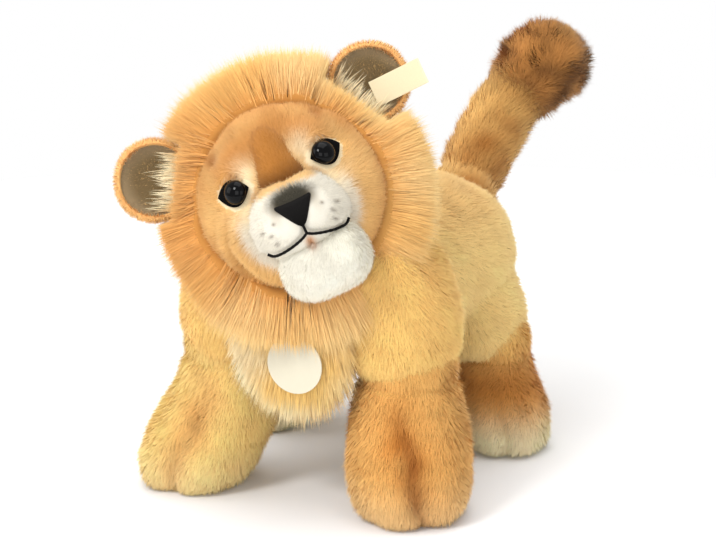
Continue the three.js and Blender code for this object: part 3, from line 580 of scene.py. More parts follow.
shoulders = {}
for name in ("front_left", "front_right"):
    leg = legs[name]
    c = leg["crease"]
    inward = -math.copysign(10, c[0])
    wide, deep = leg["ball"] + 4.6, leg["ball"] + 6
    sizes = [[wide, deep], [wide, deep], [wide - 5.5, deep]]
    lobe = line(c - LOBE_DROP, c + [inward, 0, 58])
    shoulders[name] = new_object(f"plush_{name}_shoulder", *stuffed(lobe, sizes, blunt=3.0, inset=SHORT))
    displaced(shoulders[name], lambda p, n: 0.4 * noise(p, 20))

# From the ankle to the sole: how far down, then the shares of the paw's width and depth.
paw_shares = np.array([[0, 0.8, 0.78], [0.16, 0.86, 0.84], [0.36, 0.95, 0.94], [0.58, 1, 1],
                       [0.76, 0.98, 0.99], [0.89, 0.89, 0.91], [0.965, 0.76, 0.79], [1, 0.62, 0.66]])
# The split between the toes: its angle from straight ahead at the ankle and at the sole, towards
# the lion's left.
toe_splits = {"front_left": (4, 40), "front_right": (-4, 2), "hind_left": (10, 22),
              "hind_right": (-8, -6)}
BALL_EDGE = math.radians(20)   # how far below its middle the leg's ball ends
SOLE = 0.4   # the sole's height


def split_distance(name, points):
    """Millimetres round the paw from its toe split, and the share of the height up to the ankle."""
    leg = legs[name]
    rise = np.clip(points[:, 2] / (leg["crease"][2] - leg["ball"] * 0.34), 0, 1.3)
    lean = ramp(1 - rise, 0, 1)[:, None]
    middle = leg["crease"][:2] * (1 - lean) + np.array(leg["paw"]) * lean
    off = points[:, :2] - middle
    around = np.arctan2(off[:, 0], -off[:, 1])
    high, low = np.radians(toe_splits[name])
    target = low + (high - low) * np.clip(rise, 0, 1)
    away = (around - target + math.pi) % (2 * math.pi) - math.pi
    return away * np.linalg.norm(off, axis=1), rise, away


def leg_form(name, inset, sides=96, rings=34):
    leg = legs[name]
    crease, radius = leg["crease"], leg["ball"] - inset
    lowest = math.pi / 2 + BALL_EDGE
    round_leg = np.stack([*circle(sides), np.zeros(sides)], 1)
    ring = []
    for polar in np.linspace(0, lowest, 14)[1:]:
        ring.append(crease + [0, 0, radius * math.cos(polar)] + round_leg * radius * math.sin(polar))
    top = crease[2] + leg["ball"] * math.cos(lowest)
    at = np.arange(1, rings + 1) / rings
    stops = len(paw_shares)
    size = catmull(np.column_stack([paw_shares[:, 1:], np.zeros(stops)]), at)
    drop = np.interp(at * (stops - 1), np.arange(stops), paw_shares[:, 0])
    for d, s in zip(drop, size):
        lean = d * d * (3 - 2 * d)
        middle = crease[:2] * (1 - lean) + np.array(leg["paw"]) * lean
        height = max(SOLE, top * (1 - d))
        reach = [leg["wide"] * s[0] - inset, leg["deep"] * s[1] - inset, 0]
        ring.append(np.array([*middle, height]) + round_leg * reach)
    sole = np.array([*leg["paw"], SOLE])
    points, faces = rings_mesh(np.array(ring), crease + [0, 0, radius], sole)
    across, rise, away = split_distance(name, points)
    share = leg["wide"] / FRONT_WIDE
    depth = share * 3.0 * ramp(1 - rise, 0.4, 0.95) * spot(across, 2.8 * share)
    depth += share * 2.2 * spot(across, 7.5 * share) * spot((rise - 0.55) / 0.4, 1)
    toes = share * 1.8 * spot(np.abs(away) - 0.55, 0.4) * ramp(1 - rise, 0.3, 0.8)
    middle = np.array([*leg["paw"], 12])
    off = points - middle
    off[:, 2] *= 0.25
    points = points + unit(off) * (toes - depth)[:, None] * (points[:, 2] > 0.5)[:, None]
    return new_object(f"plush_{name}_leg", points, faces)


leg_skins = {name: leg_form(name, SHORT) for name in legs}

# The tail.
tail_base, tail_tip = np.array([12.5, 94, 107]), np.array([46.5, 151.5, 184])
tail_spine = Spine([tail_base, (tail_base + tail_tip) / 2 + [-8, 4, 0], tail_tip])
tail_sizes = [[17, 17], [15.2, 15.2], [15.5, 15.5]]
tail_parts = [stuffed(tail_spine, tail_sizes, blunt=3, inset=SHORT), ball(tail_base, 17)]
tail = fused("plush_tail", tail_parts, voxel=1.3, smooth=5)
displaced(tail, lambda p, n: 0.35 * noise(p, 16))
TUFT_LENGTH, TUFT_BEYOND = 44, 5
tuft_from = 1 - TUFT_LENGTH / tail_spine.length
tuft_shares = np.linspace(tuft_from - 0.03, 1 + TUFT_BEYOND / tail_spine.length, 5)
tuft_spine = Spine(tail_spine.point(tuft_shares) + [1.0, 0.5, 0])
tuft_sizes = [[19, 19], [20.5, 20.5], [20.5, 20.5]]
tuft = new_object("plush_tail_tuft", *stuffed(tuft_spine, tuft_sizes, blunt=2.3, inset=2.6))
displaced(tuft, lambda p, n: 0.9 * noise(p, 15, 1))

# The chest ruff.
ruff_spine = Spine([[5, -68, 50], [5, -72, 74], [5, -76, 98]])
ruff_sizes = [[13, 8], [24.5, 10], [36, 10]]
ruff = new_object("plush_ruff", *stuffed(ruff_spine, ruff_sizes, blunt=2.2, inset=2.5))

# The head.
def cheek_folds(local):
    """Folds round the right cheek: millimetres from the muzzle's middle, and how near that cheek."""
    round_muzzle = np.degrees(np.arctan2(local[:, 2] + 13, local[:, 0])) % 360
    return np.hypot(local[:, 0] / 1.12, local[:, 2] + 13), spot((round_muzzle - 205) / 45, 1)


# Bumps and hollows of the face: how high, where across and up, and how wide.
FACE_BUMPS = {"brow": (2.3, 17, 20.5, 6.5), "cheek": (2.0, 29, -8, 10), "crown": (1.2, 0, 34, 12),
              "pit above the brow": (-1.6, 23.5, 26.5, 2.6), "inner corner": (-1.6, 11.5, 5, 5.5)}
# Folds round the right cheek: how high, how far from the muzzle's middle, and how wide.
CHEEK_FOLDS = ((-3.0, 27.5, 1.7), (1.4, 24.4, 1.9), (-1.8, 32.0, 1.8))


def head_relief(local):
    """How far the face stands out of its ball at a point of it, by its place on the face's plane."""
    u, v = np.abs(local[:, 0]), local[:, 2]
    lift = 0
    for high, across, up, wide in FACE_BUMPS.values():
        lift = lift + high * spot(np.hypot(u - across, v - up), wide)
    ring, on_right = cheek_folds(local)
    for high, away, wide in CHEEK_FOLDS:
        lift = lift + high * on_right * spot(ring - away, wide)
    lift = lift + 0.45 * noise(local, 9, 2) * ramp(v, 2, 22)
    return lift * ramp(-local[:, 1], 0, 16)


def head_ball(radius, sides=160, rings=110):
    """A ball in the head's own frame, its poles before and behind."""
    polar = math.pi * np.arange(1, rings) / rings
    cos, sin = circle(sides)
    ring = radius * np.stack([np.sin(polar)[:, None] * cos, -np.cos(polar)[:, None] * np.ones(sides),
                              np.sin(polar)[:, None] * sin], -1)
    return rings_mesh(ring, np.array([0, -radius, 0]), np.array([0, radius, 0]))


HEAD_INSET, SMALL_INSET = 0.8, 1.0   # how far the cloth of the head and of its small forms is inset
points, faces = head_ball(HEAD_R - HEAD_INSET)
points = points + unit(points) * head_relief(points)[:, None]
head = new_object("plush_head", from_head(points), faces)
head_tree = tree_of(head)
seam_ahead = -HEAD_R * math.cos(FACE_SEAM)
face, head_back = split(head, ["plush_face", "plush_head_back"],
                        lambda m: np.where(to_head(m)[:, 1] < seam_ahead, 0, 1))

MUZZLE = np.array([0, -31.0, -9.5])
MUZZLE_HALF = np.array([23.2, 26, 19.5])
# The mouth's line: shares of the muzzle's half width and of its half height.
SMILE = np.array([[0, -0.43], [0.12, -0.50], [0.34, -0.57], [0.58, -0.60], [0.72, -0.575],
                  [0.80, -0.49]])


def from_smile(local):
    """Millimetres above or below the mouth's line, and the share of the muzzle's half width."""
    across = np.abs(local[:, 0]) / MUZZLE_HALF[0]
    return local[:, 2] - np.interp(across, SMILE[:, 0], SMILE[:, 1]) * MUZZLE_HALF[2], across


def muzzle_relief(share):
    """The muzzle's pads, its cleft below the nose and the crease under the mouth's thread."""
    local = share * MUZZLE_HALF
    x, z = local[:, 0], local[:, 2]
    lift = 1.6 * spot(np.hypot(np.abs(x) - 9.5, z + 6), 6.5)
    lift -= 1.3 * spot(x, 1.3) * ramp(-z, 4, 7)
    off, across = from_smile(local)
    lift -= 1.2 * spot(off, 1.6) * (across < 0.82)
    lift += 1.2 * spot(np.hypot(np.abs(x) - 8, z - 13), 6) - 0.8 * spot(np.hypot(x, z - 7), 5)
    return lift * ramp(-share[:, 1], 0, 0.4)


points, faces = head_ball(1.0, 120, 80)
relief = muzzle_relief(points)
points = points * (MUZZLE_HALF - SMALL_INSET) + unit(points / MUZZLE_HALF) * relief[:, None] + MUZZLE
muzzle = new_object("plush_muzzle", from_head(points), faces)
muzzle_tree = tree_of(muzzle)
CHIN, CHIN_HALF = [2.2, -25.8, -30], np.array([20.5, 24.5, 16.5])
points, faces = head_ball(1.0, 96, 64)
square = np.sign(points) * np.abs(points) ** [0.72, 1, 0.8]
chin = new_object("plush_chin", from_head(square * (CHIN_HALF - SMALL_INSET) + CHIN), faces)
chin_tree = tree_of(chin)
BRIDGE_HALF, BRIDGE_AHEAD, BRIDGE_RISE = [9.0, 9.0, 17.5], [0, -37.9, 0], 19.5
points, faces = head_ball(1.0, 80, 56)
square = np.abs(points) ** 0.75 * np.sign(points)
half_square = square / np.linalg.norm(square, axis=1, keepdims=True) * 0.5
bridge_local = (half_square + points * 0.5) * BRIDGE_HALF
bridge_local[:, 0] *= 1 + 0.45 * ramp(-bridge_local[:, 2], 0, 15)
bridge_local = (bridge_local + BRIDGE_AHEAD) @ turn("x", -math.atan2(BRIDGE_RISE, HEAD_R)).T
bridge = new_object("plush_nose_bridge", from_head(bridge_local), faces)
bridge_tree = tree_of(bridge)


# Ears, each cupped round in a frame of its own: outward, forward and across.
EAR_TURN = math.radians(31.7)
EAR_AWAY = HEAD_R + 16
EAR_BEHIND = [0, 2, 0]
EAR_R, RIM_R, LINING_R = 17.2, 14.9, 15.4


def ear_frame(side):
    out = np.array([side * math.cos(EAR_TURN), 0, math.sin(EAR_TURN)])
    across = np.array([-side * math.sin(EAR_TURN), 0, math.cos(EAR_TURN)])
    return out, np.array([0, -1.0, 0]), across


def lathe_round_head(profile, sides):
    """A closed ring about the face's axis, from a profile of (angle from the face's axis, radius)."""
    cos, sin = circle(sides)
    theta, radius = profile[:, 0], profile[:, 1]
    off_axis, ahead = (radius * np.sin(theta))[:, None], (radius * np.cos(theta))[:, None]
    rim = np.stack([off_axis * cos, -ahead * np.ones(sides), off_axis * sin], -1)
    return closed_band(rim.reshape(-1, 3), len(profile), sides)


MANE_TO, MANE_THICK = math.radians(110), 10.5
span = np.linspace(0, 1, 22)
outer = np.column_stack([FACE_SEAM + (MANE_TO - FACE_SEAM) * span,
                         HEAD_R + MANE_THICK * np.sin(math.pi * span ** 0.85) ** 0.8])
inner = np.column_stack([outer[::-1, 0], np.full(len(span), HEAD_R - 2.0)])[1:-1]
points, faces = lathe_round_head(np.vstack([outer, inner]), 128)
for side in (1, -1):
    out, _, across = ear_frame(side)
    open_by = ramp(np.abs(points @ across), 19, 12) * (points @ out > 0)
    reach = np.linalg.norm(points, axis=1)
    lowered = reach - open_by * np.maximum(reach - HEAD_R - 1.2, 0) * 0.85
    points = points * (lowered / reach)[:, None]
mane = new_object("plush_mane", from_head(points), faces)
mane_tree = tree_of(mane)


def ear_middle(side):
    return ear_frame(side)[0] * EAR_AWAY + EAR_BEHIND


def ear_part(name, side, profile, sides=72):
    """A round skin from a profile of (radius, height forward), closed at both ends."""
    out, forward, across = ear_frame(side)
    cos, sin = circle(sides)
    wobble = 1 + 0.02 * np.sin(3 * (2 * math.pi * np.arange(sides) / sides) + side)
    ring = []
    for r, h in profile:
        cupped = forward * (0.09 * np.abs(r * sin) ** 1.5 / 4.4)[:, None]
        ring.append(ear_middle(side) + (r * wobble * cos)[:, None] * out + (r * sin)[:, None] * across
                    + forward * h + cupped)
    return new_object(name, *in_head(*capped(np.array(ring), pointed=True)))


def capped(ring, pointed=False):
    """Closes rings of points by a pole in the middle of each end; pointed rings end in points."""
    return rings_mesh(ring[1:-1] if pointed else ring, ring[0].mean(0), ring[-1].mean(0))


def in_head(points, faces):
    return from_head(points), faces


QUARTER = math.pi / 2
ear_profile = [(EAR_R * math.sin(a), -6.2 * math.cos(a)) for a in np.linspace(0, QUARTER, 14)]
ear_profile += [(EAR_R - 1.0 * (1 - math.cos(a)), 2.6 * math.sin(a))
                for a in np.linspace(0.3, math.pi, 9)]
ear_profile += [(RIM_R * math.cos(a), -1.0 - 1.6 * math.sin(a)) for a in np.linspace(0.1, QUARTER, 10)]
lining_profile = [(14.8 * math.sin(a), -2.2) for a in np.linspace(0, QUARTER, 6)]
lining_profile += [(LINING_R * math.cos(a) ** 0.8, 1.6 - 2.9 * math.sin(a))
                   for a in np.linspace(0.05, QUARTER, 16)]
ears, linings = {}, {}
SIDES = ((1, "left"), (-1, "right"))
for side, word in SIDES:
    ears[word] = ear_part(f"plush_ear_{word}", side, ear_profile)
    linings[word] = ear_part(f"plush_ear_lining_{word}", side, lining_profile)

# Eyes, nose, mouth, label and tag.
EYE_OUT, EYE_UP = math.radians(27), math.radians(-13.1)


def eye_turn(side):
    return turn("z", EYE_OUT * side) @ turn("x", EYE_UP)


def at_eye(side, points, faces):
    return from_head(points @ eye_turn(side).T), faces


def quadratic(a, b, c, count):
    t = np.linspace(0, 1, count, endpoint=False)[:, None]
    return a * (1 - t) ** 2 + 2 * b * t * (1 - t) + c * t ** 2


# The felt behind an eye is an almond, drawn with its outer corner at positive x.
ALMOND_SHIFT = 2.0
outer_corner, inner_corner, bulge = np.array([7.6, 1.45]), np.array([-7.6, 0]), np.array([0, 11.6])
ALMOND = np.vstack([quadratic(outer_corner, bulge, inner_corner, 32),
                    quadratic(inner_corner, -bulge, outer_corner, 32)])
ALMOND = ALMOND * [1.06, 1.04] + [ALMOND_SHIFT, 0]
ALMOND_REACH, ALMOND_LONG, ALMOND_BULGE, ALMOND_RISE = 8.06, 16.1, 12.06, 1.5
# Radius and height above the head's middle, for the button; share and height, for the felt.
dome = [(0, 40.0), (1.3, 40.0), (1.3, 45.2), (4.9, 45.2)]
dome += [(5.2 * math.cos(a), 45.7 + 4.0 * math.sin(a)) for a in np.linspace(0, QUARTER, 16)]
felt_profile = ((0.3, 44.35), (0.7, 44.3), (0.97, 44.0), (1.0, 44.4), (0.97, 44.8), (0.7, 45.1),
                (0.3, 45.15))
FELT_BACK, FELT_FRONT, FELT_CURVE = -44.35, -45.12, 0.004
for side, word in SIDES:
    cos, sin = circle(48)
    button = np.array([np.column_stack([r * cos, np.full(48, -h), r * sin]) for r, h in dome])
    eye = new_object(f"button_eye_{word}", *at_eye(side, *capped(button, pointed=True)))
    rings = []
    for share_out, height in felt_profile:
        flat = ((ALMOND - [ALMOND_SHIFT, 0]) * share_out + [ALMOND_SHIFT, 0]) * [side, 1]
        drop = height - (flat ** 2).sum(1) * FELT_CURVE
        rings.append(np.column_stack([flat[:, 0], -drop, flat[:, 1]]))
    hub = side * ALMOND_SHIFT
    sheet = rings_mesh(np.array(rings), np.array([hub, FELT_BACK, 0]), np.array([hub, FELT_FRONT, 0]))
    felt = new_object(f"felt_eye_backing_{word}", *at_eye(side, *sheet))
    finished(eye, black_gloss, "black_plastic", "head", f"eye_{word}")
    finished(felt, black_felt, "black_thread", "head", f"eye_backing_{word}")
    washer = frame["nodes"][f"eye_washer_{word}"]
    washer.data.materials.clear()
    washer.data.materials.append(washer_plastic)

# The nose is satin stitch: a rounded triangle of close threads laid over the muzzle.
NOSE_TOP, NOSE_HIGH, NOSE_HALF = -3.5, 11, 8.0
STITCHES, STITCH_DEEP = 13, 0.16
across = np.linspace(-1, 1, 65)
down = np.linspace(0, 1, 30)[:, None]
half_width = NOSE_HALF * np.clip(1 - down, 0, 1) ** 0.85 + 0.9
rounding = np.clip(1 - (1 - np.minimum(down / 0.12, 1)) ** 2 * 0.12, 0, 1)
half_width *= rounding * np.sqrt(np.clip((1.02 - down) / 0.1, 0, 1))
x = half_width * across
z = NOSE_TOP - NOSE_HIGH * down - 0.7 * (1 - np.abs(across) ** 2) * down
z = z + 0.8 * across ** 2 * (1 - down)
edge = (1 - np.abs(across) ** 6) * np.clip(np.minimum(down, 1 - down) / 0.1, 0, 1) ** 0.5
threads = STITCH_DEEP * np.cos(across * 2 * math.pi * STITCHES) * edge


def muzzle_front(x, z, lift):
    half = MUZZLE_HALF - 0.6 + lift[..., None]
    square = 1 - (x / half[..., 0]) ** 2 - ((z - MUZZLE[2]) / half[..., 2]) ** 2
    return np.stack([x, MUZZLE[1] - np.sqrt(np.clip(square, 0.05, 1)) * half[..., 1], z], -1)


top_side = muzzle_front(x, z, 0.2 + 1.5 * edge + threads)
low_side = muzzle_front(x * 0.98, z, np.full_like(x, -1.2))
grid = np.concatenate([top_side, low_side[:, ::-1]], 1)
nose = new_object("stitched_nose", *in_head(*capped(grid)))


def tube(name, path, radius, sides=10, closed=False):
    """A round thread along a path of points."""
    ahead = np.roll(path, -1, 0) - np.roll(path, 1, 0)
    if not closed:
        ahead[0], ahead[-1] = path[1] - path[0], path[-1] - path[-2]
    ahead = unit(ahead)
    first = unit(np.cross(ahead, [0.3, 1.0, 0.2]))
    second = np.cross(ahead, first)
    cos, sin = circle(sides)
    radius = np.broadcast_to(radius, len(path))[:, None, None]
    around = cos[:, None] * first[:, None] + sin[:, None] * second[:, None]
    ring = path[:, None] + radius * around
    if closed:
        return new_object(name, *closed_band(ring.reshape(-1, 3), len(path), sides))
    return new_object(name, *rings_mesh(ring, path[0] - ahead[0] * 0.2, path[-1] + ahead[-1] * 0.2))


THREAD_R, THREAD_OUT, STEM_TOP = 0.62, 0.9, -13.0


def on_muzzle(x, z):
    return muzzle_front(x, z, np.full(len(x), THREAD_OUT))


half_smile = catmull(np.column_stack([SMILE, np.zeros(len(SMILE))]), np.linspace(0, 1, 40))[:, :2]
strokes = [on_muzzle(half_smile[:, 0] * way * MUZZLE_HALF[0],
                     MUZZLE[2] + half_smile[:, 1] * MUZZLE_HALF[2]) for way in (1, -1)]
stem_end = MUZZLE[2] + SMILE[0, 1] * MUZZLE_HALF[2]
stem = on_muzzle(np.zeros(8), np.linspace(STEM_TOP, stem_end, 8))
path = from_head(np.vstack([strokes[1][::-1], strokes[0][1:]]))
twist = THREAD_R + 0.07 * np.cos(np.arange(len(path)) * 2.1)
mouth = tube("stitched_mouth", path, twist)
philtrum = tube("stitched_mouth_stem", from_head(stem), THREAD_R)

LABEL_LONG, LABEL_HALF, LABEL_THICK, LABEL_TILT = 26, 5.75, 0.3, math.radians(27)
SELVEDGE, SELVEDGE_THICK = 0.4, 0.06
out, forward, _ = ear_frame(1)
label_root = out * EAR_AWAY + [0, 2 - 2.7, -5.5]
tilt_cos, tilt_sin = math.cos(LABEL_TILT), math.sin(LABEL_TILT)
length = np.linspace(0, LABEL_LONG, 40)
curl = 0.9 * np.sin(length / LABEL_LONG * math.pi)
label_x = label_root[0] + length * tilt_cos + curl * tilt_sin
label_y = label_root[1] - length * tilt_sin + curl * tilt_cos
woven = [(-LABEL_HALF, 0), (-LABEL_HALF + SELVEDGE, SELVEDGE_THICK), (0, 0),
         (LABEL_HALF - SELVEDGE, SELVEDGE_THICK), (LABEL_HALF, 0)]
layers = []
for t_x, t_y, at in zip(label_x, label_y, length):
    thick = LABEL_THICK * math.sqrt(max(0.02, 1 - max(0, (at - 25.7) / 0.3) ** 2))
    corner = [(w, -thick - h) for w, h in woven] + [(w, thick + h) for w, h in woven[::-1]]
    layers.append([[t_x + d * tilt_sin, t_y + d * tilt_cos, label_root[2] + w] for w, d in corner])
label = new_object("ribbon_label", *in_head(*capped(np.array(layers))), smooth=False)

TAG_HOLE = np.array([12.0, -86.8, 83.0])
TAG_HOLE_R, TAG_R, TAG_DROP, TAG_SIDES = 1.5, 13.0, 10, 72
hole = TAG_HOLE_R * np.column_stack(circle(TAG_SIDES))
rim = TAG_R * np.column_stack(circle(TAG_SIDES)) - [0, TAG_DROP]
# From the hole out over the back, round the rim and in over the front: share out, depth.
tag_profile = ((0, 0.4), (0.5, 0.4), (0.985, 0.4), (1, 0.3), (1, -0.3), (0.985, -0.4), (0.5, -0.4),
               (0, -0.4))
tag_rings = []
for share_out, depth in tag_profile:
    flat = hole * (1 - share_out) + rim * share_out
    tag_rings.append(np.column_stack([flat[:, 0], np.full(TAG_SIDES, depth), flat[:, 1]]))
tag_mesh = closed_band(np.vstack(tag_rings) + TAG_HOLE, len(tag_rings), TAG_SIDES)
tag = new_object("blank_paper_tag", *tag_mesh, smooth=False)
LOOP_R, LOOP_LEAN, LOOP_THREAD_R = 3.4, math.radians(35), 0.45
loop_middle = TAG_HOLE + [0, LOOP_R * math.sin(LOOP_LEAN), LOOP_R * math.cos(LOOP_LEAN)]
loop_path = loop_middle + LOOP_R * np.column_stack([np.zeros(48), *circle(48)])
loop = tube("thread_loop", loop_path, LOOP_THREAD_R, closed=True)

finished(nose, black_yarn, "black_thread", "head", "nose")
finished(mouth, black_yarn, "black_thread", "head", "mouth_thread")
finished(philtrum, black_yarn, "black_thread", "head")
finished(label, weave, "ribbon", "ear_left", "ear_label")
finished(tag, card, "paper", "tag", "hang_tag")
finished(loop, black_cord, "black_thread", "trunk", "tag_loop")

# Colours of the pile, by place.
GOLD = srgb(252, 204, 122)
PALE = srgb(246, 212, 140)
GINGER = srgb(216, 140, 58)
BURNT = srgb(152, 84, 28)
CREAM = srgb(254, 238, 200)
WHITE = srgb(234, 228, 213)
TAUPE = srgb(122, 102, 70)


def coated(colour, *coats):
    """A colour with others mixed over it in turn, each by its own share."""
    for tone, share in coats:
        colour = mix(colour, tone, share)
    return colour


def body_colour(p, n):
    return coated(PALE, (GOLD, 0.5 * ramp(p[:, 1], 10, -40)), (GINGER, 0.35 * ramp(p[:, 2], 100, 132)),
                  (GINGER, 0.18 * spot(p[:, 0] - BACK_SEAM, 2.0) * (p[:, 2] > BACK_ONLY)))


def shoulder_colour(p, n):
    return mix(GOLD, CREAM, 0.35 * ramp(p[:, 1], -28, -20))


# The front legs' colour, and how strong the patch and the groove between their toes are. The right leg is
# painted lighter, with fainter marks, against the shade that the head casts on it.
front_looks = {"front_left": (srgb(236, 183, 104), 0.95, 1.0),
               "front_right": (srgb(255, 214, 134), 0.35, 0.35)}


def leg_colour(name):
    scale = legs[name]["wide"] / FRONT_WIDE

    def front(p, n):
        across, rise, away = split_distance(name, p)
        # The right leg's lighter colour and fainter patch and groove are painted light against the head's
        # shade.
        own, patched, grooved = front_looks[name]
        mottle = 0.9 + 0.25 * noise(p, 8, 1)
        toes = ramp(rise, 0.5, 0.05)
        before = np.abs(away) < 1.6
        patch = spot(across / scale - 1, 10.5) * spot((rise - 0.6) / 0.32, 1) * before
        split_line = spot(across / scale - 2.5 * ramp(rise, 0.2, 0.6), 5.0)
        groove = split_line * (spot((rise - 0.5) / 0.28, 1) + 0.25 * toes) * before
        return coated(own, (CREAM, 0.25 * toes), (GINGER, np.clip(patched * patch * mottle, 0, 1)),
                      (BURNT, np.clip(grooved * groove * mottle, 0, 1)))

    def hind(p, n):
        across, rise, _ = split_distance(name, p)
        # The ginger band and brown patch near the top of the leg, below its crease, are partly the leg's
        # own colour and partly painted shade in the crease.
        patch = spot((rise - 0.78) / 0.24, 1) * (0.4 + 0.6 * spot(across / 12, 1))
        return coated(GOLD, (CREAM, 0.9 * ramp(rise, 0.72, 0.2)),
                      (GINGER, 0.8 * spot((rise - 0.76) / 0.30, 1)),
                      (BURNT, np.clip(0.38 * patch, 0, 1)))
    return front if name in front_looks else hind


def tail_colour(p, n):
    along = ((p - tail_base) @ (tail_tip - tail_base)) / np.sum((tail_tip - tail_base) ** 2)
    along = np.clip(along, 0, 1)
    streak = spot(n @ unit(np.array([0.55, -0.8, 0.1])) - 0.95, 0.36) * ramp(along, 0.75, 0.25)
    streak = np.clip(0.85 * streak * (0.9 + 0.3 * noise(p, 9, 1)), 0, 1)
    return coated(mix(PALE, GOLD, 0.5), (GOLD, ramp(along, 0.02, 0.3)),
                  (GINGER, 0.4 * spot((along - 0.16) / 0.16, 1)), (srgb(186, 114, 42), streak),
                  (srgb(178, 120, 56), 0.7 * ramp(along, 0.42, 0.62))) * 0.82


def tuft_colour(p, n):
    # Darker on the underside and on the side away from the lamps, as painted shade, and mottled at random.
    mottle_and_painted_shade = 0.35 + 0.45 * noise(p, 9, 2) - 0.35 * n[:, 2] + 0.35 * n[:, 0]
    return mix(srgb(190, 130, 66), srgb(112, 70, 32), np.clip(mottle_and_painted_shade, 0, 1))


def face_colour(p, n):
    q = to_head(p)
    u, v = np.abs(q[:, 0]), q[:, 2]
    reach = np.hypot(u, v)
    by_muzzle = np.maximum(np.hypot(u / 23.2, (v + 9.5) / 19.5) - 0.98, 0)
    ring, on_right = cheek_folds(q)
    # Painted shade along the folds round the right cheek.
    painted_fold_shade = np.maximum(spot(ring - 27.8, 1.4), 0.7 * spot(ring - 32.2, 1.3))
    mottle = np.clip(0.15 + 0.4 * noise(p, 8, 2), 0, 0.45)
    return coated(srgb(232, 184, 114),
                  (srgb(186, 122, 56), 0.8 * ramp(v, 8, 26) * ramp(reach, 46, 26)),
                  # Darker ginger towards the face's edge: painted shade where it meets the mane.
                  (srgb(206, 136, 62), 0.6 * ramp(reach, 33, 41)),
                  (WHITE, 0.85 * spot(by_muzzle, 0.11) * ramp(-v, -2, 6)),
                  (CREAM, 0.8 * spot(np.hypot(u - 13, v - 15.5), 5.5)),
                  (CREAM, 0.7 * spot(np.hypot(u - 17, v - 0.5), 7.5)),
                  (CREAM, 0.85 * (almond_distance(p) < 1.7)),
                  # A dark brown spot in the pit above each brow: painted shade in that hollow.
                  (BURNT, 0.75 * spot(np.hypot(u - 23.5, v - 26.5), 2.4)),
                  # Darker brown by each eye's inner corner: painted shade in the hollow there.
                  (srgb(150, 92, 46), 0.5 * spot(np.hypot(u - 12.5, v - 4), 3.2)),
                  (srgb(186, 120, 52), 0.6 * on_right * painted_fold_shade),
                  (srgb(190, 124, 54), mottle * ramp(v, 0, 20)))


def almond_distance(p):
    """Millimetres from a point of the face to the edge of the nearer eye's backing; negative on it."""
    q = to_head(p)
    found = np.full(len(p), 99.0)
    for side in (1, -1):
        local = q @ eye_turn(side)
        flat = local[:, [0, 2]] * [side, 1]
        gap = np.linalg.norm(flat[:, None] - ALMOND[None, ::2], axis=2).min(1)
        x = np.clip((ALMOND_REACH + ALMOND_SHIFT - flat[:, 0]) / ALMOND_LONG, 0, 1)
        half = ALMOND_BULGE * x * (1 - x)
        inside = (np.abs(flat[:, 1] - ALMOND_RISE * (1 - x)) < half) & (local[:, 1] < 0)
        gap = np.where(local[:, 1] < 0, gap, 99)
        found = np.minimum(found, np.where(inside, -gap, gap))
    return found


def muzzle_colour(p, n):
    q = to_head(p) - MUZZLE
    x, z = np.abs(q[:, 0]), q[:, 2]
    under_nose = np.hypot(x / 10.5, (z - 6.8) / 5.6)
    whiskers = [(srgb(90, 66, 46), 0.75 * spot(np.hypot(x - across, z - up), 0.75))
                for across, up in ((11, 0.6), (13.5, -3.6), (16.2, -0.8), (12.5, -7.2))]
    return coated(WHITE, (srgb(226, 184, 122), ramp(z, 10.5, 13.5) * ramp(x, 16, 10)),
                  (srgb(30, 26, 12), 0.97 * ramp(under_nose, 1.25, 0.62)),
                  (srgb(150, 128, 96), 0.3 * spot(x - 9, 2.5) * spot(z - 3, 5)), *whiskers,
                  (srgb(205, 132, 62), 0.8 * spot(np.hypot(x, z + 11.5), 2.0)))


def chin_colour(p, n):
    q = to_head(p) - MUZZLE
    blush = 0.6 * spot(np.hypot(q[:, 0] - 1, q[:, 2] + 13), 1.8)
    return mix(srgb(248, 244, 230), srgb(205, 132, 62), blush)


def bridge_colour(p, n):
    v = to_head(p)[:, 2]
    return mix(srgb(180, 118, 50), srgb(112, 66, 24), ramp(v, 15, 3))


# The pile of each piece.
EARTH = np.array([0, 0, -1.0])
SHORT_WIDTH, FACE_PILE, MUZZLE_PILE = 0.42, 3.7, 2.6
SHORT_PILE = dict(length=4.4, width=SHORT_WIDTH)


def constant(colour):
    return lambda p, n: np.tile(colour, (len(p), 1))


def toward(vector):
    vector = np.array(vector, float)
    return lambda at: np.tile(vector, (len(at), 1))


def outside(*trees, by=0.6):
    """Keeps the roots that aren't inside the other forms."""
    def keep(at, up):
        held = np.ones(len(at), bool)
        for tree in trees:
            index = np.flatnonzero(held)
            held[index] = depth_in(at[index], tree) < by
        return held
    return keep


def both(first, then):
    """Keeps what both keep. The second looks only at what the first has left."""
    def keep(at, up):
        held = first(at, up)
        index = np.flatnonzero(held)
        held[index] = then(at[index], up[index])
        return held
    return keep


leg_trees = {name: tree_of(skin) for name, skin in leg_skins.items()}
shoulder_trees = {name: tree_of(skin) for name, skin in shoulders.items()}
hind_trees = [leg_trees["hind_left"], leg_trees["hind_right"]]
on_body = outside(*shoulder_trees.values(), *hind_trees, tree_of(tail))
body_nodes = [["body_panel_left", "body_stuffing"], ["body_panel_right"], ["belly_panel"]]
for skin, nodes in zip(body_parts, body_nodes):
    plush(skin, "trunk", "fabric_pale", nodes, body_colour, density=4.0, way=toward([0, 0.75, -0.65]),
          lean=0.62, keep=on_body, **SHORT_PILE)
for name, skin in shoulders.items():
    plush(skin, "trunk", "fabric_gold", [f"{name}_shoulder_skin", f"{name}_shoulder_stuffing"],
          shoulder_colour, density=4.4, way=toward([0, 0.25, -1]), lean=0.62,
          keep=outside(body_tree, leg_trees[name], by=1.0), **SHORT_PILE)


